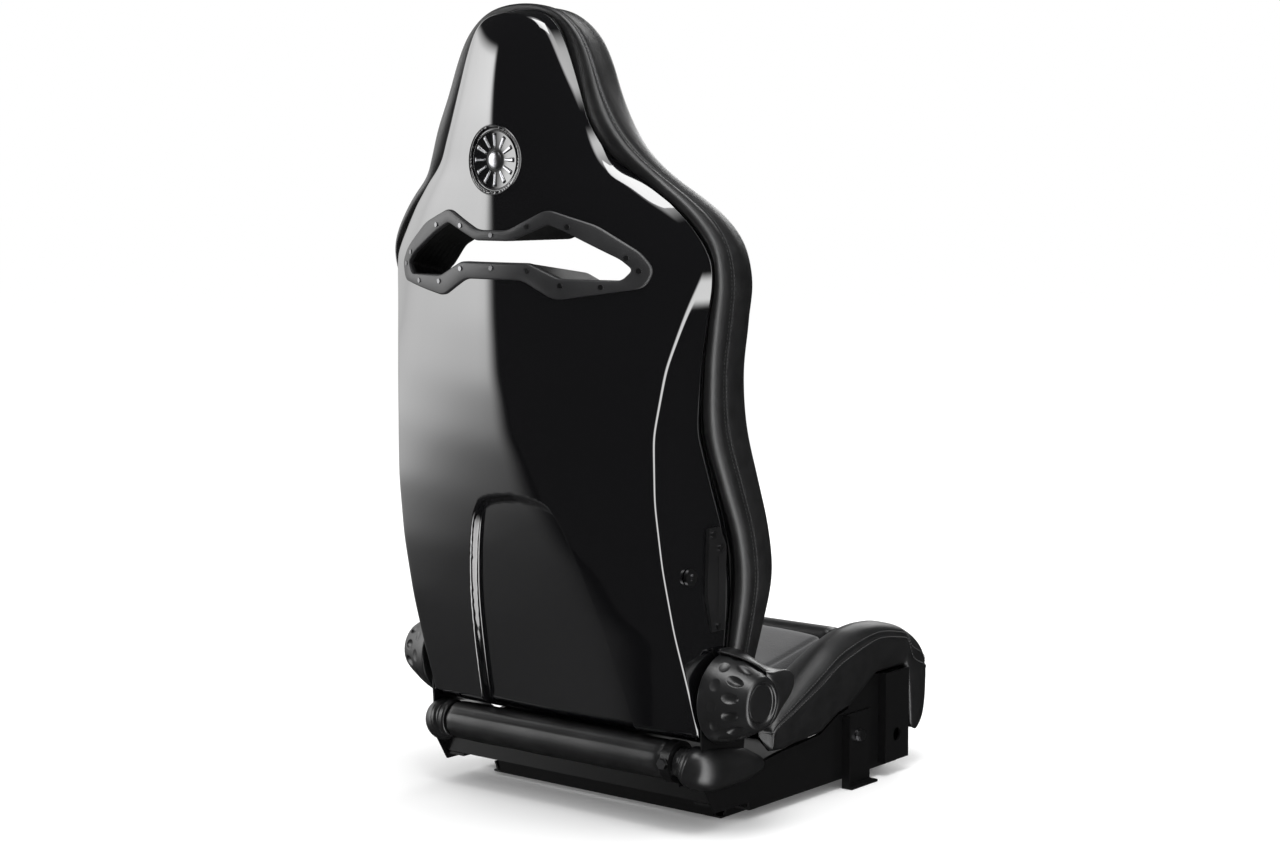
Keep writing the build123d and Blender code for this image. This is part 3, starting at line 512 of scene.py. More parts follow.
shell_verts, shell_faces = make_shell()
shell = add_mesh("gloss_back_shell", shell_verts, shell_faces, GLOSS, "backrest", node="back_shell")
modify(shell, "SOLIDIFY", thickness=SHELL_WALL * MM, offset=-1.0)


# ---------------------------------------------------------------- harness slot and badge
def band_loops(outer, inner, profile, surface):
    """Loops across a band between two outlines; profile is (share across, height off surface)."""
    loops = []
    for share, lift in profile:
        at = mix(outer, inner, share)
        loops.append(place(at[:, 0], surface(at[:, 0], at[:, 1]) - lift, at[:, 1]))
    return np.array(loops)


def matched_loops():
    """Outer and inner slot outlines, sampled so that equal indices face each other."""
    outer = round_corners(whole_loop(BEZEL_HALF), 10)
    inner = round_corners(whole_loop(SLOT_HALF), 6)
    spread = resample(np.hstack([outer, inner]), 420, closed=True)
    return spread[:, :2], spread[:, 2:]


OUTER_LOOP, INNER_LOOP = matched_loops()


def make_rear_bezel():
    profile = ((0.0, -1.5), (0.0, 1.4), (0.03, 2.5), (0.10, 3.2), (0.50, 3.5), (0.86, 3.2),
               (0.95, 2.4), (1.0, 1.0), (1.0, -7.0), (0.9, -7.0), (0.86, -1.5))
    return ring_mesh(band_loops(OUTER_LOOP, INNER_LOOP, profile, skin_depth))


add_mesh("rear_bezel", *make_rear_bezel(), TRIM, "backrest", node="slot_bezel_rear")

FRONT_BEZEL_DEPTH = 110.5
SLOT_FLARE = 14.5          # how far the tunnel's floor drops towards the front


def flared(loop, share):
    """Slot outline at a share of the way to the front."""
    drop = SLOT_FLARE * smoothstep((722 - loop[:, 1]) / 14) * share
    return np.stack([loop[:, 0], loop[:, 1] - drop], 1)


def make_liner():
    """Lined tunnel from the rear bezel to the front bezel, with fine ribs."""
    steps = np.linspace(0, 1, 40)
    rear = skin_depth(INNER_LOOP[:, 0], INNER_LOOP[:, 1]) + 4.0
    loops = []
    for offset in (0.0, 2.4):
        for step in (steps if offset == 0 else steps[::-1]):
            line = flared(INNER_LOOP, step)
            inward = line - line.mean(0)
            scale = 1 + (offset - 0.6 * (abs(math.sin(step * 26)) if offset == 0 else 0)) / 90
            at = line.mean(0) + inward * scale
            loops.append(place(at[:, 0], mix(rear, FRONT_BEZEL_DEPTH + 2, step), at[:, 1]))
    return ring_mesh(loops)


add_mesh("slot_tunnel", *make_liner(), LINER, "backrest", node="slot_liner")


def make_front_bezel():
    def flat(x, _):
        return np.full(np.shape(x), FRONT_BEZEL_DEPTH)

    profile = ((0.0, 2.0), (0.0, -2.2), (0.06, -3.8), (0.3, -4.5), (0.7, -4.5), (0.93, -3.8),
               (1.0, -2.2), (1.0, 2.0))
    return ring_mesh(band_loops(flared(OUTER_LOOP, 1.0), flared(INNER_LOOP, 1.0), profile, flat))


add_mesh("front_bezel", *make_front_bezel(), TRIM, "backrest", node="slot_bezel_front")


def make_badge_ring():
    """Rings round the badge's centre; profile is (radius, lift off the shell's back face)."""
    profile = ((38.6, -6.0), (42.6, -2.0), (43.0, 0.1), (42.6, 0.9), (41.9, 1.1), (41.2, 0.7),
               (40.6, -0.6), (39.4, -2.6), (36.6, -3.2), (35.6, -3.0), (35.2, -5.0))
    angles = np.linspace(0, 2 * math.pi, 128, endpoint=False)
    rings = []
    for radius, lift in profile:
        x = radius * np.cos(angles)
        z = BADGE_Z + radius * np.sin(angles)
        rings.append(place(x, skin_depth(x, z) - lift, z))
    return ring_mesh(rings)


add_mesh("badge_rim", *make_badge_ring(), GLOSS, "backrest", node="badge_ring")
BADGE_RIBS = 12


def make_badge_disc():
    """Dished disc with a domed boss and twelve tapered ribs: a plain generic ornament."""
    radii = np.concatenate([np.linspace(0.05, 12, 26), np.linspace(12.6, 35.4, 48)])
    angles = np.linspace(0, 2 * math.pi, 360, endpoint=False)
    radius, angle = np.meshgrid(radii, angles, indexing="ij")
    lift = -4.2 + 0.012 * np.maximum(radius - 14, 0) ** 1.5
    lift = lift + 2.6 * np.sqrt(np.clip(1 - (radius / 10.5) ** 2, 0, 1))
    wave = np.cos(BADGE_RIBS * angle)
    rib = smoothstep((wave - 0.55) / 0.25) * smoothstep((radius - 15) / 2) * smoothstep((32 - radius) / 2)
    lift = lift + 1.5 * rib
    x = radius * np.cos(angle)
    z = BADGE_Z + radius * np.sin(angle)
    top = place(x, 1.2 - lift, z)
    rows, cols, _ = top.shape
    verts = np.vstack([top.reshape(-1, 3), [[0, BACK_Y - 9, BADGE_Z]]])
    faces = grid_faces(rows, cols, wrap_cols=True)
    back = rows * cols
    faces += [(back, (rows - 1) * cols + c, (rows - 1) * cols + (c + 1) % cols) for c in range(cols)]
    faces.append(tuple(range(cols))[::-1])
    return verts, faces


badge = add_mesh("badge_ornament", *make_badge_disc(), BADGE_METAL, "backrest", node="badge_disc")
badge.data.materials.append(GLOSS)
for polygon in badge.data.polygons:
    place_x, _, place_z = polygon.center / MM
    reach = math.hypot(place_x, place_z - BADGE_Z)
    turn = math.cos(BADGE_RIBS * math.atan2(place_z - BADGE_Z, place_x))
    raised = reach < 10.4 or (turn > 0.62 and 15.5 < reach < 31.5)
    polygon.material_index = 0 if raised else 1

# ---------------------------------------------------------------- backrest leather
# Each row: shell edge (x, z, depth), widest line (x, z, depth), front seam (x, z, depth), crest depth.
RIM_ROWS = np.array([
    (224, 196, 171, 236, 196, 214, 152, 202, 192, 226),
    (224, 250, 181, 239, 250, 228, 152, 250, 178, 250),
    (226, 310, 186, 243, 310, 237, 152, 310, 160, 266),
    (226, 370, 178, 242, 370, 229, 152, 370, 144, 260),
    (224, 430, 155, 240, 430, 209, 152, 430, 128, 242),
    (223, 500, 127, 240, 500, 181, 152, 500, 114, 218),
    (231, 570, 117, 246, 570, 165, 155, 560, 108, 203),
    (244, 630, 109, 258, 630, 159, 172, 625, 108, 196),
    (256, 675, 104, 268, 675, 151, 211, 668, 112, 186),
    (260, 706, 98, 270, 710, 142, 214, 706, 113, 176),
    (251, 730, 95, 262, 736, 138, 213, 738, 113, 168),
    (228, 757, 90, 243, 762, 134, 190, 757, 113, 160),
    (205, 778, 84, 219, 785, 122, 150, 778, 113, 148),
    (173, 801, 76, 190, 808, 109, 105, 794, 113, 136),
    (135, 832, 58, 164, 835, 94, 84, 822, 112, 126),
    (113, 870, 47, 142, 868, 79, 76, 862, 112, 120),
    (98, 910, 47, 122, 908, 71, 72, 905, 112, 116),
    (82, 950, 49, 106, 950, 67, 68, 945, 111, 113),
    (66, 985, 50, 87, 984, 66, 58, 972, 109, 108),
    (38, 1003, 50, 52, 1010, 63, 36, 991, 105, 101),
    (0, 1007, 50, 0, 1018, 60, 0, 997, 104, 98)], float)
MIRROR = np.array([-1, 1, 1, -1, 1, 1, -1, 1, 1, 1])


def rim_path(count):
    """Rows round the whole backrest, from the lower left over the head to the lower right."""
    full = np.vstack([RIM_ROWS, RIM_ROWS[-2::-1] * MIRROR])
    dense = catmull(full, 16, closed=False)
    places = resample(np.hstack([dense[:, 3:6], dense]), count)[:, 3:]
    return np.stack([soften(places[:, k], 2.0) for k in range(places.shape[1])], 1)


def rim_section(row):
    """Closed section of the leather rim: rear roll, seam groove, bolster crest, inner slope."""
    edge, wide, front, crest = row[0:3], row[3:6], row[6:9], row[9]
    reach = wide[2] - edge[2]
    inward = front[:2] - wide[:2]
    inward = inward / np.linalg.norm(inward)

    def between(share, depth):
        return (*mix(edge[:2], wide[:2], share), edge[2] + depth)

    def forward(step, depth):
        return (*(wide[:2] + inward * step), depth)

    span = np.linalg.norm(front[:2] - wide[:2])
    full = min(1.0, span / 80)
    controls = [
        between(-0.25, 8.0), between(0.10, 3.0), between(0.48, 1.5), between(0.84, 0.12 * reach),
        between(1.02, 0.30 * reach), between(1.03, 0.46 * reach), between(0.93, 0.58 * reach),
        between(0.99, 0.72 * reach), forward(0, wide[2]), forward(3, mix(wide[2], crest, 0.45)),
        forward(12 * full, mix(wide[2], crest, 0.86)), forward(26 * full, crest),
        forward(42 * full, mix(crest, front[2], 0.12)), forward(0.78 * span, mix(crest, front[2], 0.62)),
        forward(span - 4, front[2] + 2), forward(span, front[2] - 4),
        forward(span, max(front[2] - 22, edge[2] + 9)),
        (*mix(edge[:2], front[:2], 0.55), edge[2] + 10)]
    return catmull(np.array(controls), 4)


def make_rim():
    loops = np.array([rim_section(row) for row in rim_path(430)])
    return place(loops[..., 0], loops[..., 2], loops[..., 1])


rim_loops = make_rim()
add_mesh("backrest_leather", *tube_mesh(rim_loops), LEATHER, "backrest",
         node=["side_bolster_left", "side_bolster_right"])


STITCH_PITCH = 5.2
STITCH_LENGTH = 3.4


def stitch_row(name, path, body, radius=0.42):
    """Short raised threads along a path."""
    path = np.asarray(path)
    total = np.linalg.norm(np.diff(path, axis=0), axis=1).sum()
    marks = resample(path, max(3, int(total / STITCH_PITCH) * 4))
    verts, faces = [], []
    ring = [(math.cos(a), math.sin(a)) for a in np.linspace(0, 2 * math.pi, 6, endpoint=False)]
    for index in range(0, len(marks) - 4, 4):
        middle = marks[index + 1]
        along = marks[index + 2] - marks[index]
        along = along / max(np.linalg.norm(along), 1e-6)
        aside = np.cross(along, [0.31, 0.52, 0.79])
        aside /= np.linalg.norm(aside)
        over = np.cross(along, aside)
        base = len(verts)
        for share, size in ((-0.5, 0.35), (-0.3, 0.95), (0.0, 1.1), (0.3, 0.95), (0.5, 0.35)):
            for c, s in ring:
                verts.append(middle + along * share * STITCH_LENGTH
                             + (aside * c + over * s) * radius * size)
        faces += grid_faces(5, 6, wrap_cols=True, start=base)
        faces.append(tuple(base + k for k in range(6))[::-1])
        faces.append(tuple(base + 24 + k for k in range(6)))
    add_mesh(name, verts, faces, THREAD, body)


# Threads either side of the seam groove that runs round the rear roll.
for label, column in (("outer", 22), ("inner", 26)):
    stitch_row(f"rim_thread_{label}", rim_loops[4:-4, column], "backrest")
stitch_row("rim_thread_front", rim_loops[6:-6, 54], "backrest")


# ---------------------------------------------------------------- pads between the bolsters
PAD_FRONT = smooth_curve(((190, 194), (250, 180), (320, 158), (400, 136), (500, 114), (640, 104),
                          (780, 105), (860, 108), (940, 107), (1018, 96)), 14)
PAD_BULGE = 5.0
PAD_BOTTOM = 206.0
PANEL_BOTTOM = 702.0
SLOT_GAP = 4               # between the padding and the slot's tunnel


def pad_mesh(x, z, thickness, u, v, seams):
    """Closed pad from a grid of places; u and v run from -1 to 1 across it."""
    u, v = np.broadcast_to(u, x.shape), np.broadcast_to(v, x.shape)
    front = read(PAD_FRONT, z)
    rear = front - thickness
    roundness = (1 - np.abs(u) ** 10) ** 0.5 * (1 - np.abs(v) ** 14) ** 0.5
    bulge = PAD_BULGE * (1 - u ** 2) * (1 - v ** 4)
    groove = np.zeros(x.shape)
    for seam in seams:
        groove = groove + 4.2 * np.exp(-(seam / 3.2) ** 2) + 2.2 * np.exp(-(seam / 11.0) ** 2)
    face = rear + (front - rear) * roundness + bulge - groove * roundness
    return two_sided(place(x, face, z), place(x, rear, z))


SLOT_LOWER = ((0, 704), (54, 704), (97, 686), (172, 685), (184, 698), (215, 700))
SLOT_UPPER = ((0, 730), (28, 730), (81, 751), (106, 741), (170, 710), (184, 698), (215, 700))


def make_centre_pad():
    v = np.linspace(0, 1, 200)[:, None]
    u = np.linspace(-1, 1, 120)[None, :]
    level = mix(PAD_BOTTOM, 700.0, v)
    half = np.interp(level, RIM_ROWS[:11, 7], RIM_ROWS[:11, 6]) - 1.0
    x = u * half
    top = np.interp(np.abs(x), *zip(*SLOT_LOWER)) - SLOT_GAP - SLOT_FLARE
    z = mix(PAD_BOTTOM, top, v)
    seams = [z - height - 10 * (1 - u ** 2) for height in (330, 520)]
    seams.append(np.where(z < 640, np.abs(x) - half * 0.80, 99.0))
    return pad_mesh(x, z, 34, u, 2 * v - 1, seams)


add_mesh("backrest_centre_pad", *make_centre_pad(), FABRIC, "backrest", node="centre_pad")


def make_head_panel():
    v = np.linspace(0, 1, 150)[:, None]
    u = np.linspace(-1, 1, 110)[None, :]
    level = mix(PANEL_BOTTOM, 994.0, v)
    order = np.argsort(RIM_ROWS[8:, 7])
    half = np.interp(level, RIM_ROWS[8:, 7][order], RIM_ROWS[8:, 6][order]) + 2.0
    x = u * half
    lift = np.interp(np.abs(x), *zip(*SLOT_UPPER)) + SLOT_GAP - PANEL_BOTTOM
    z = level + lift * (1 - v) ** 3
    seams = [z - 800 - 8 * (1 - u ** 2)]
    return pad_mesh(x, z, 26, u, 2 * v - 1, seams)


add_mesh("head_panel", *make_head_panel(), FABRIC, "backrest", node="head_pad")

# ---------------------------------------------------------------- seat cushion
CENTRE_HALF = 149.0        # half width of the cushion between its bolsters
SEAM_X = 118.0             # seams along the cushion centre and the thigh roll
BOLSTER_TOP = smooth_curve(((258, 112), (266, 124), (295, 138), (350, 168), (400, 196), (440, 209),
                            (480, 213), (520, 211), (565, 200), (604, 183), (632, 158), (646, 126)), 9)
BOLSTER_LOW = smooth_curve(((258, 84), (284, 82), (371, 88), (413, 107), (440, 112), (500, 146),
                            (572, 146), (584, 60), (600, 50), (624, 66), (640, 92), (646, 120)), 3)
CUSHION_TOP = smooth_curve(((212, 138), (260, 140), (330, 143), (430, 156), (500, 170), (548, 180),
                            (600, 172)), 12)


def make_cushion_bolster():
    """Left cushion bolster: high and rounded in front, low beside the recliner."""
    loops = []
    nose = 600 + 45.5 * np.sin(np.linspace(0.02, 1, 40) * math.pi / 2)
    stations = np.concatenate([np.linspace(259, 600, 120), nose])
    for depth in stations:
        top = float(read(BOLSTER_TOP, depth))
        low = float(read(BOLSTER_LOW, depth))
        inner_low = max(102.0, low) if depth < 582 else low
        seat = min(float(np.interp(depth, *CUSHION_TOP)), top - 4)
        seat = max(seat, inner_low + 3)
        turn = min(max((depth - 600) / 45.6, 0.0), 1.0)
        side = 238 - 34 * (1 - math.sqrt(1 - turn ** 2))
        mid = mix(low, top, 0.5)
        inner = 152 + 26 * (1 - math.sqrt(1 - turn ** 2))
        controls = [(inner, inner_low), (inner, mix(inner_low, seat, 0.6)), (inner + 6, seat + 1),
                    (inner + 20, mix(seat, top, 0.35)), (mix(inner, side, 0.42), mix(seat, top, 0.78)),
                    (mix(inner, side, 0.60), top - 1), (mix(inner, side, 0.76), top),
                    (side - 7, mix(top, mid, 0.16)), (side - 1, mix(top, mid, 0.42)),
                    (side, mix(top, mid, 0.66)), (side, mid), (side - 1, mix(mid, low, 0.6)),
                    (side - 4, low + 1), (side - 10, low), (mix(inner, side, 0.7), max(low, inner_low)),
                    (mix(inner, side, 0.4), inner_low)]
        curve = catmull(np.array(controls), 4)
        # The seam groove that the two rows of threads run beside.
        for column, sink in ((32, 0.7), (33, 1.7), (34, 0.7)):
            inward = curve.mean(0) - curve[column]
            curve[column] += sink * inward / np.linalg.norm(inward)
        loops.append(place(curve[:, 0], depth, curve[:, 1]))
    return np.array(loops)


bolster_loops = make_cushion_bolster()
add_pair("cushion_bolster_cover", *tube_mesh(bolster_loops), LEATHER, "base", "cushion_bolster")
for label, column in (("upper", 31), ("lower", 35)):
    path = bolster_loops[4:-6, column] + np.array([0.5, 0, 0.3])
    stitch_row(f"cushion_thread_{label}_left", path, "base", radius=0.6)
    stitch_row(f"cushion_thread_{label}_right", mirrored(path), "base", radius=0.6)


def make_cushion_centre():
    v = np.linspace(0, 1, 150)[:, None]
    u = np.linspace(-1, 1, 110)[None, :]
    depth = mix(215.0, 549.0, v) + 0 * u
    x = CENTRE_HALF * u + 0 * v
    surface = np.interp(depth, *CUSHION_TOP)
    roundness = (1 - np.abs(u) ** 12) ** 0.5 * (1 - np.abs(2 * v - 1) ** 24) ** 0.5
    side_seam = np.abs(x) - SEAM_X
    groove = 3.2 * np.exp(-(side_seam / 2.4) ** 2)
    top = mix(104.0, surface, roundness) + 6 * (1 - u ** 2) - groove * roundness
    return two_sided(place(x, depth, top), place(x, depth, 102.0))


add_mesh("cushion_centre_cover", *make_cushion_centre(), FABRIC, "base", node="cushion_centre")


def make_thigh_roll():
    """Rounded front edge of the cushion, full in the middle and drawn in at its ends."""
    nose = [(551, 104), (551, 150), (553, 176), (566, 183), (590, 177), (618, 160), (636, 134), (641, 108),
            (630, 84), (606, 68), (590, 74), (582, 92), (566, 103)]
    profile = catmull(nose, 6)
    centre = profile.mean(0)
    loops = []
    for u in np.linspace(-1, 1, 90):
        shrink = (1 - abs(u) ** 16) ** 0.5 if abs(u) < 1 else 0.02
        scaled = centre + (profile - centre) * mix(0.9, 1.0, shrink)
        groove = 2.6 * math.exp(-((abs(u) * CENTRE_HALF - SEAM_X) / 3.0) ** 2)
        scaled = centre + (scaled - centre) * (1 - groove / 60)
        loops.append(place(u * CENTRE_HALF, scaled[:, 0], scaled[:, 1]))
    return np.array(loops)


add_mesh("thigh_roll_cover", *tube_mesh(make_thigh_roll()), LEATHER, "base", node="thigh_roll")


# ---------------------------------------------------------------- knobs and roll
KNOB_PROFILE = smooth_curve(((231, 56), (235, 57), (246, 53.5), (258, 48.5), (272, 42), (284, 35.5),
                             (290, 31)), 1.5)
SCALLOP_PITCH = math.radians(30)
SCALLOP_FLOOR = 33.5       # no finger dents on the dished end, inside this radius


def round_axis(x, radius, angles):
    """Places round the recline axis; angles run from straight ahead, upwards."""
    return place(np.broadcast_to(x, angles.shape), AXIS_DEPTH + radius * np.cos(angles),
                 AXIS_Z + radius * np.sin(angles))


def make_knob():
    """Conical knob: plain skirt, two rings of finger scallops and a dished end."""
    stations = [(230.9, 50), (230.9, 55.2), (231.8, 56.6)]
    stations += [(x, float(read(KNOB_PROFILE, x))) for x in (233.5, 240, 248, 256, 264, 272, 280, 285)]
    stations += [(287.8, 33), (289.4, 31), (290, 28.6), (289, 26.4), (286.6, 24.6), (284.6, 19),
                 (284.0, 10), (284.4, 0.1)]
    profile = resample(catmull(np.array(stations), 8, closed=False), 170)
    angles = np.linspace(0, 2 * math.pi, 360, endpoint=False)
    loops = []
    for x, radius in profile:
        dent = np.zeros(len(angles))
        if radius > SCALLOP_FLOOR:
            for middle, reach, shift, deep in ((250, 6.0, 0.5, 1.6), (270, 10.0, 0.0, 4.2)):
                aside = (angles / SCALLOP_PITCH + shift) % 1.0 - 0.5
                oval = (aside / 0.31) ** 2 + ((x - middle) / reach) ** 2
                dent += deep * np.clip(1 - oval, 0, 1)
        loops.append(round_axis(x, radius - dent, angles))
    return tube_mesh(loops)


add_pair("recline_knob", *make_knob(), SATIN, "recline_drive", "knob")


def make_lever():
    """Curved blade that wraps the front of the knob and swells into a thumb paddle."""
    along = np.concatenate([np.linspace(0, 1, 40), np.linspace(1.02, 1.5, 16)])
    rows = []
    for s in along:
        reach = min(s, 1.0)
        top = math.radians(mix(104, 66, reach ** 1.5))
        bottom = math.radians(mix(-24, -52, reach))
        turn = np.linspace(bottom, top, 120)
        degrees = np.degrees(turn)
        ends = 1 - np.abs(np.linspace(-1, 1, 120)) ** 6
        x = 231.5 + 53 * reach
        swell = 34 * np.exp(-((degrees - 17) / 24) ** 2) * reach ** 1.7
        radius = float(read(KNOB_PROFILE, min(x, 289))) + 4.5 + swell
        x = np.full(120, x) - 5 * (1 - ends) * reach
        if s > 1:
            fold = (s - 1) / 0.5
            inner = 30.5 + 2.5 * (1 - ends)
            bulge = 4.2 * math.sin(min(1.0, fold * 2.2) * math.pi / 2)
            x = x + bulge - 2.0 * smoothstep((fold - 0.6) / 0.4)
            radius = mix(radius, inner, smoothstep(fold) if fold < 1 else 1.0)
        rows.append(round_axis(x, radius, turn))
    rows = np.array(rows)
    verts = rows.reshape(-1, 3)
    faces = grid_faces(len(along), 120)
    # A flat ring behind the knob carries the blade on the recliner boss; a web joins the two.
    ring = ((13.4, 228.4), (30, 228.4), (31, 229.2), (30, 230.0), (13.4, 230.0))
    web = ((28, 228.6), (45, 228.6), (61.5, 229.2), (61.5, 230.2), (45, 230.0), (28, 230.0))
    spokes = np.linspace(0, 2 * math.pi, 72, endpoint=False)
    sweep = np.linspace(math.radians(-20), math.radians(98), 60)
    for profile, angles, whole in ((ring, spokes, True), (web, sweep, False)):
        plate = np.array([round_axis(x, radius, angles) for radius, x in profile])
        faces += grid_faces(*plate.shape[:2], wrap_rows=True, wrap_cols=whole, start=len(verts))
        verts = np.vstack([verts, plate.reshape(-1, 3)])
    return verts, faces


LEVER_WALL = 2.0
for lever in add_pair("fold_lever", *make_lever(), SATIN, "lever_{}", "release_lever"):
    modify(lever, "SOLIDIFY", thickness=LEVER_WALL * MM, offset=0.0)


def elliptical_tube(controls, rib):
    """Loops of a tube through (x, depth, z, half height, half width) stations."""
    line = catmull(np.array(controls, float), 14, closed=False)
    centre = place(line[:, 0], line[:, 1], line[:, 2])
    heading = np.gradient(centre, axis=0)
    heading /= np.linalg.norm(heading, axis=1)[:, None]
    angles = np.linspace(0, 2 * math.pi, 56, endpoint=False)
    loops = []
    for index, (middle, forward) in enumerate(zip(centre, heading)):
        aside = np.cross(forward, [0, 0, 1])
        aside /= np.linalg.norm(aside)
        over = np.cross(aside, forward)
        tall, wide = line[index, 3], line[index, 4]
        scale = rib(index / (len(centre) - 1), angles)
        loops.append(middle + (aside * (wide * np.cos(angles) * scale)[:, None])
                     + (over * (tall * np.sin(angles) * scale)[:, None]))
    return np.array(loops)


def boot_rib(share, angles):
    """Two fine lines along the top of the boot and a seam ring near its neck."""
    scale = np.ones(len(angles))
    for line in (1.05, 1.30):
        scale -= 0.035 * np.exp(-((angles - line) / 0.05) ** 2) * float(smoothstep((share - 0.2) / 0.1))
    return scale - 0.05 * math.exp(-((share - 0.17) / 0.012) ** 2)


BOOT_LINE = ((193, 128, 88, 19, 19), (199, 128, 87.5, 20, 20), (205, 129, 86, 25, 25),
             (214, 133, 83, 28, 26), (221, 145, 80, 28, 22), (222, 168, 78, 27, 20.5),
             (223, 200, 75, 24, 19), (225, 226, 71, 17, 14), (227, 246, 68, 9, 7),
             (227.5, 250, 67, 2, 2))
add_pair("corner_boot", *tube_mesh(elliptical_tube(BOOT_LINE, boot_rib)), SATIN, "base", "hinge_boot")

ROLL_DEPTH = 128.0
ROLL_Z = 88.0
ROLL_RIGHT = -176.0        # the sleeve stops at the clamp on the right
ROLL_LEFT = 188.0
ROLL_RADIUS = 25.0


def make_roll():
    """Leather sleeve on the rear tube, with a seam and soft gathers at its ends."""
    angles = np.linspace(0, 2 * math.pi, 96, endpoint=False)
    loops = []
    for x in np.linspace(ROLL_RIGHT, ROLL_LEFT, 240):
        end = min(x - ROLL_RIGHT, ROLL_LEFT - x)
        radius = ROLL_RADIUS - 4.5 * math.exp(-end / 3.5)
        gather = 0.35 * np.sin(11 * angles + 0.4) * math.exp(-end / 22)
        seam = 1.2 * np.exp(-((np.cos(angles - 2.4) - 1) * 60) ** 2)
        r = radius + gather - seam + 0.25 * math.sin(x / 17)
        loops.append(place(x, ROLL_DEPTH + r * np.cos(angles), ROLL_Z + r * np.sin(angles)))
    return tube_mesh(loops)


add_mesh("roll_sleeve", *make_roll(), LEATHER, "base", node="roll_cover")

# ---------------------------------------------------------------- finishes of the carried-over parts
FINISH = {"gloss_shell": GLOSS, "satin_plastic": SATIN, "rubber_seal": RUBBER, "badge_metal": BADGE_METAL,
          "leather": LEATHER, "centre_fabric": FABRIC, "powder_coat": COAT, "bare_steel": STEEL,
          "black_fasteners": BLACK_OXIDE}
EDGE_ROUND = 1.0
for part in frame["record"]["subparts"]:
    obj = frame["nodes"][part["node"]]
    obj.data.materials.clear()
    obj.data.materials.append(FINISH[part["material_slot"]])
    bevel = modify(obj, "BEVEL", width=EDGE_ROUND * MM, segments=2, limit_method="ANGLE",
                   angle_limit=math.radians(35))
    # Coated parts get the pale coat on their bevels, which paints a thin highlight along each edge.
    if part["material_slot"] == "powder_coat":
        obj.data.materials.append(COAT_PAINTED_HIGHLIGHT)
        bevel.material = 1


# ---------------------------------------------------------------- studio
FLOOR_SIZE = 60.0          # metres, so that its far edge merges with the background
FLOOR_GAP = 0.0006         # metres under the pan, so that the faces don't coincide


def stage_floor():
    """Pale matt floor; a little glow keeps its far part as light as the background."""
    bpy.ops.mesh.primitive_plane_add(size=FLOOR_SIZE, location=(0, 0, -FLOOR_GAP))
    floor = bpy.context.object
    floor.name = "studio_floor"
    floor.data.materials.append(new_material(
        "pale_floor", (0.93, 0.93, 0.93), 0.7, Emission_Strength=0.07, Specular_IOR_Level=0.0,
        Emission_Color=(1.0, 1.0, 1.0, 1.0)))
    floor.visible_glossy = False


WALL_CENTRE = np.array([0.0, 0.3, 0.5])
WALL_RADIUS = 3.2


def glow_wall(name, directions, brightness, diffuse_share):
    """Curved studio light seen in reflections: a grid of directions and its radiance at each."""
    places = WALL_RADIUS * directions + WALL_CENTRE
    rows, cols = brightness.shape
    mesh = bpy.data.meshes.new(name)
    mesh.from_pydata(places.reshape(-1, 3).tolist(), [], grid_faces(rows, cols))
    glow = mesh.attributes.new("glow", "FLOAT", "POINT")
    glow.data.foreach_set("value", brightness.ravel().astype(np.float32))
    wall = bpy.data.objects.new(name, mesh)
    bpy.context.scene.collection.objects.link(wall)
    material = bpy.data.materials.new(name)
    material.use_nodes = True
    material.node_tree.nodes.clear()
    output, emission, attribute, rays, product = (
        node(material, "ShaderNode" + kind)
        for kind in ("OutputMaterial", "Emission", "Attribute", "LightPath", "Math"))
    attribute.attribute_name = "glow"
    product.operation = "MULTIPLY"
    share = node(material, "ShaderNodeMapRange", **{"To Min": diffuse_share, "To Max": 1.0})
    link(material, rays, "Is Glossy Ray", share, "Value")
    link(material, attribute, "Fac", product, 0)
    link(material, share, "Result", product, 1)
    link(material, product, "Value", emission, "Strength")
    link(material, emission, "Emission", output, "Surface")
    mesh.materials.append(material)
    wall.visible_camera = False
    wall.visible_shadow = False
    wall.visible_diffuse = False


def aimed(obj, location, aim):
    """Put an object in the scene, pointing its -Z at a place."""
    obj.location = location
    obj.rotation_euler = (Vector(aim) - Vector(location)).to_track_quat("-Z", "Y").to_euler()
    bpy.context.scene.collection.objects.link(obj)


def softbox(name, location, aim, width, height, power):
    light = bpy.data.lights.new(name, "AREA")
    light.shape = "RECTANGLE"
    light.size = width
    light.size_y = height
    light.energy = power
    obj = bpy.data.objects.new(name, light)
    obj.visible_camera = False
    aimed(obj, location, aim)


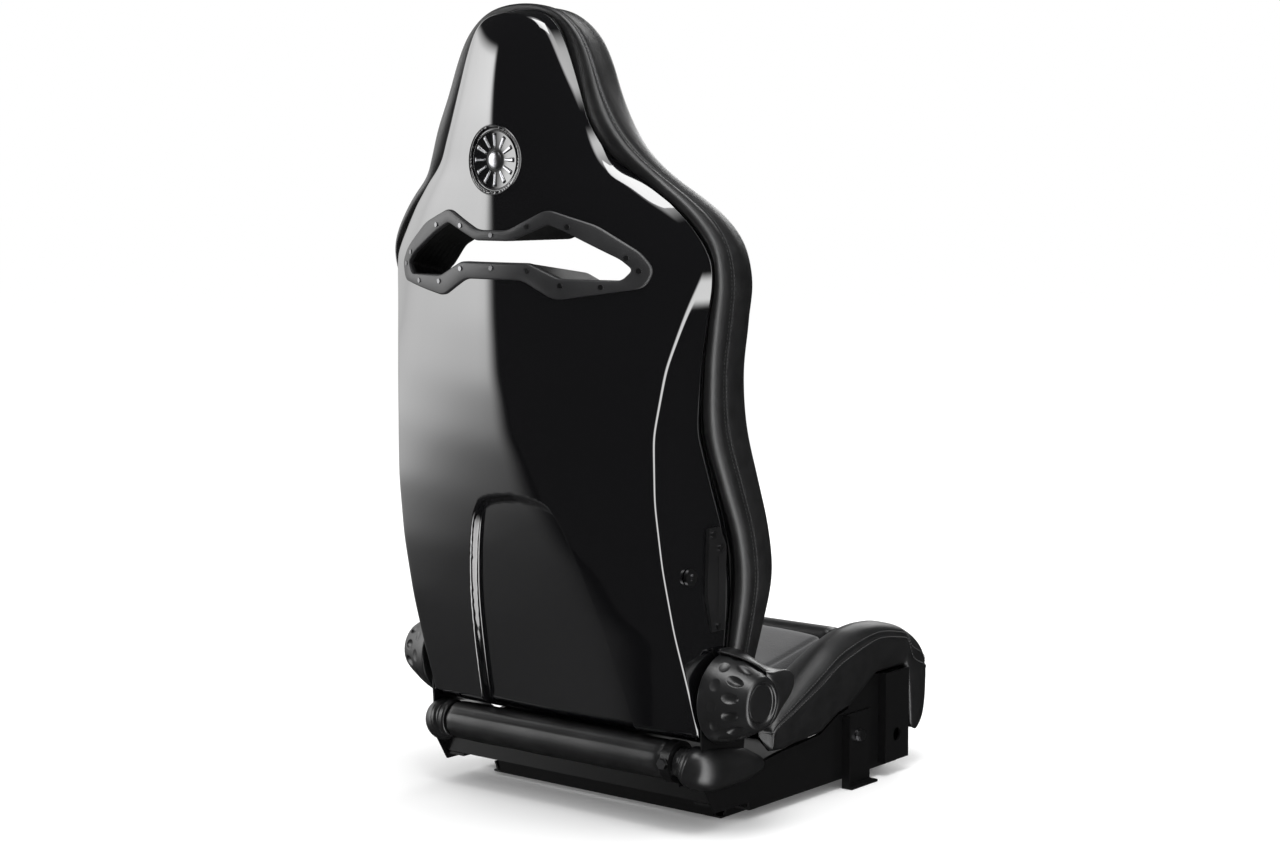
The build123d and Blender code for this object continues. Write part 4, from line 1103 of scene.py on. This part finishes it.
def left_light():
    """Large light on the seat's left: hard edge behind, fading towards the floor.

    Bearings are degrees from +Y towards +X, seen from above the seat.
    """
    bearing, elevation = np.meshgrid(np.linspace(40, 150, 90), np.linspace(-50, 30, 60),
                                     indexing="ij")
    level = np.interp(elevation, (-37, -31, -28, -23.6, -20, -16, -10, -2, 14, 23, 29),
                      (0.15, 0.24, 0.40, 0.75, 1.2, 1.9, 3.4, 5.0, 7.0, 7.0, 0.0))
    edge = smoothstep((bearing - 40.5) / 6.0)
    fade = np.interp(bearing, (50, 80, 100, 120, 150), (0.9, 0.45, 0.2, 0.1, 0.04))
    turn, rise = np.radians(bearing), np.radians(elevation)
    directions = np.stack([np.cos(rise) * np.sin(turn), np.cos(rise) * np.cos(turn), np.sin(rise)], -1)
    return directions, level * edge * fade


def right_light():
    """Arch of light over the seat's right side, which draws the bright line along the crease.

    The sweep runs from just past the zenith, down the right side, to below the floor line; the
    lean is towards the back of the seat. It is dimmer overhead than beside the seat.
    """
    sweep, lean = np.meshgrid(np.linspace(-15, 160, 120), np.linspace(-12, 22, 40), indexing="ij")
    soft = smoothstep((lean + 12) / 8) * smoothstep((22 - lean) / 12)
    ends = smoothstep((sweep + 15) / 15) * smoothstep((160 - sweep) / 20)
    turn, tip = np.radians(sweep), np.radians(lean)
    directions = np.stack([-np.cos(tip) * np.sin(turn), np.sin(tip), np.cos(tip) * np.cos(turn)], -1)
    over = mix(0.35, 1.0, smoothstep((sweep - 20) / 50))
    return directions, 7.0 * soft * ends * over


stage_floor()
glow_wall("left_light", *left_light(), 0.10)
glow_wall("right_light", *right_light(), 0.30)
softbox("top", (-0.7, 0.7, 3.1), (0, 0.1, 0.5), 1.4, 1.4, 45)
softbox("front", (0.9, -2.8, 1.8), (0, 0, 0.5), 1.2, 1.6, 25)

# The world is white to the camera and the floor, and nearly dark in reflections.
world = bpy.data.worlds.new("studio")
world.use_nodes = True
bpy.context.scene.world = world
background = world.node_tree.nodes["Background"]
background.inputs["Color"].default_value = (1.0, 1.0, 1.0, 1)
strength = node(world, "ShaderNodeMapRange", **{"To Min": 1.0, "To Max": 0.03})
link(world, node(world, "ShaderNodeLightPath"), "Is Glossy Ray", strength, "Value")
link(world, strength, "Result", background, "Strength")
bpy.context.scene.view_settings.view_transform = "Standard"

CAMERA_AT = (-1.995, 2.568, 0.816)
CAMERA_AIM = (-0.161, 0.302, 0.5065)
camera = bpy.data.cameras.new("camera")
camera.lens = 68.0
camera.sensor_width = 36.0
camera_obj = bpy.data.objects.new("camera", camera)
aimed(camera_obj, CAMERA_AT, CAMERA_AIM)
bpy.context.scene.camera = camera_obj
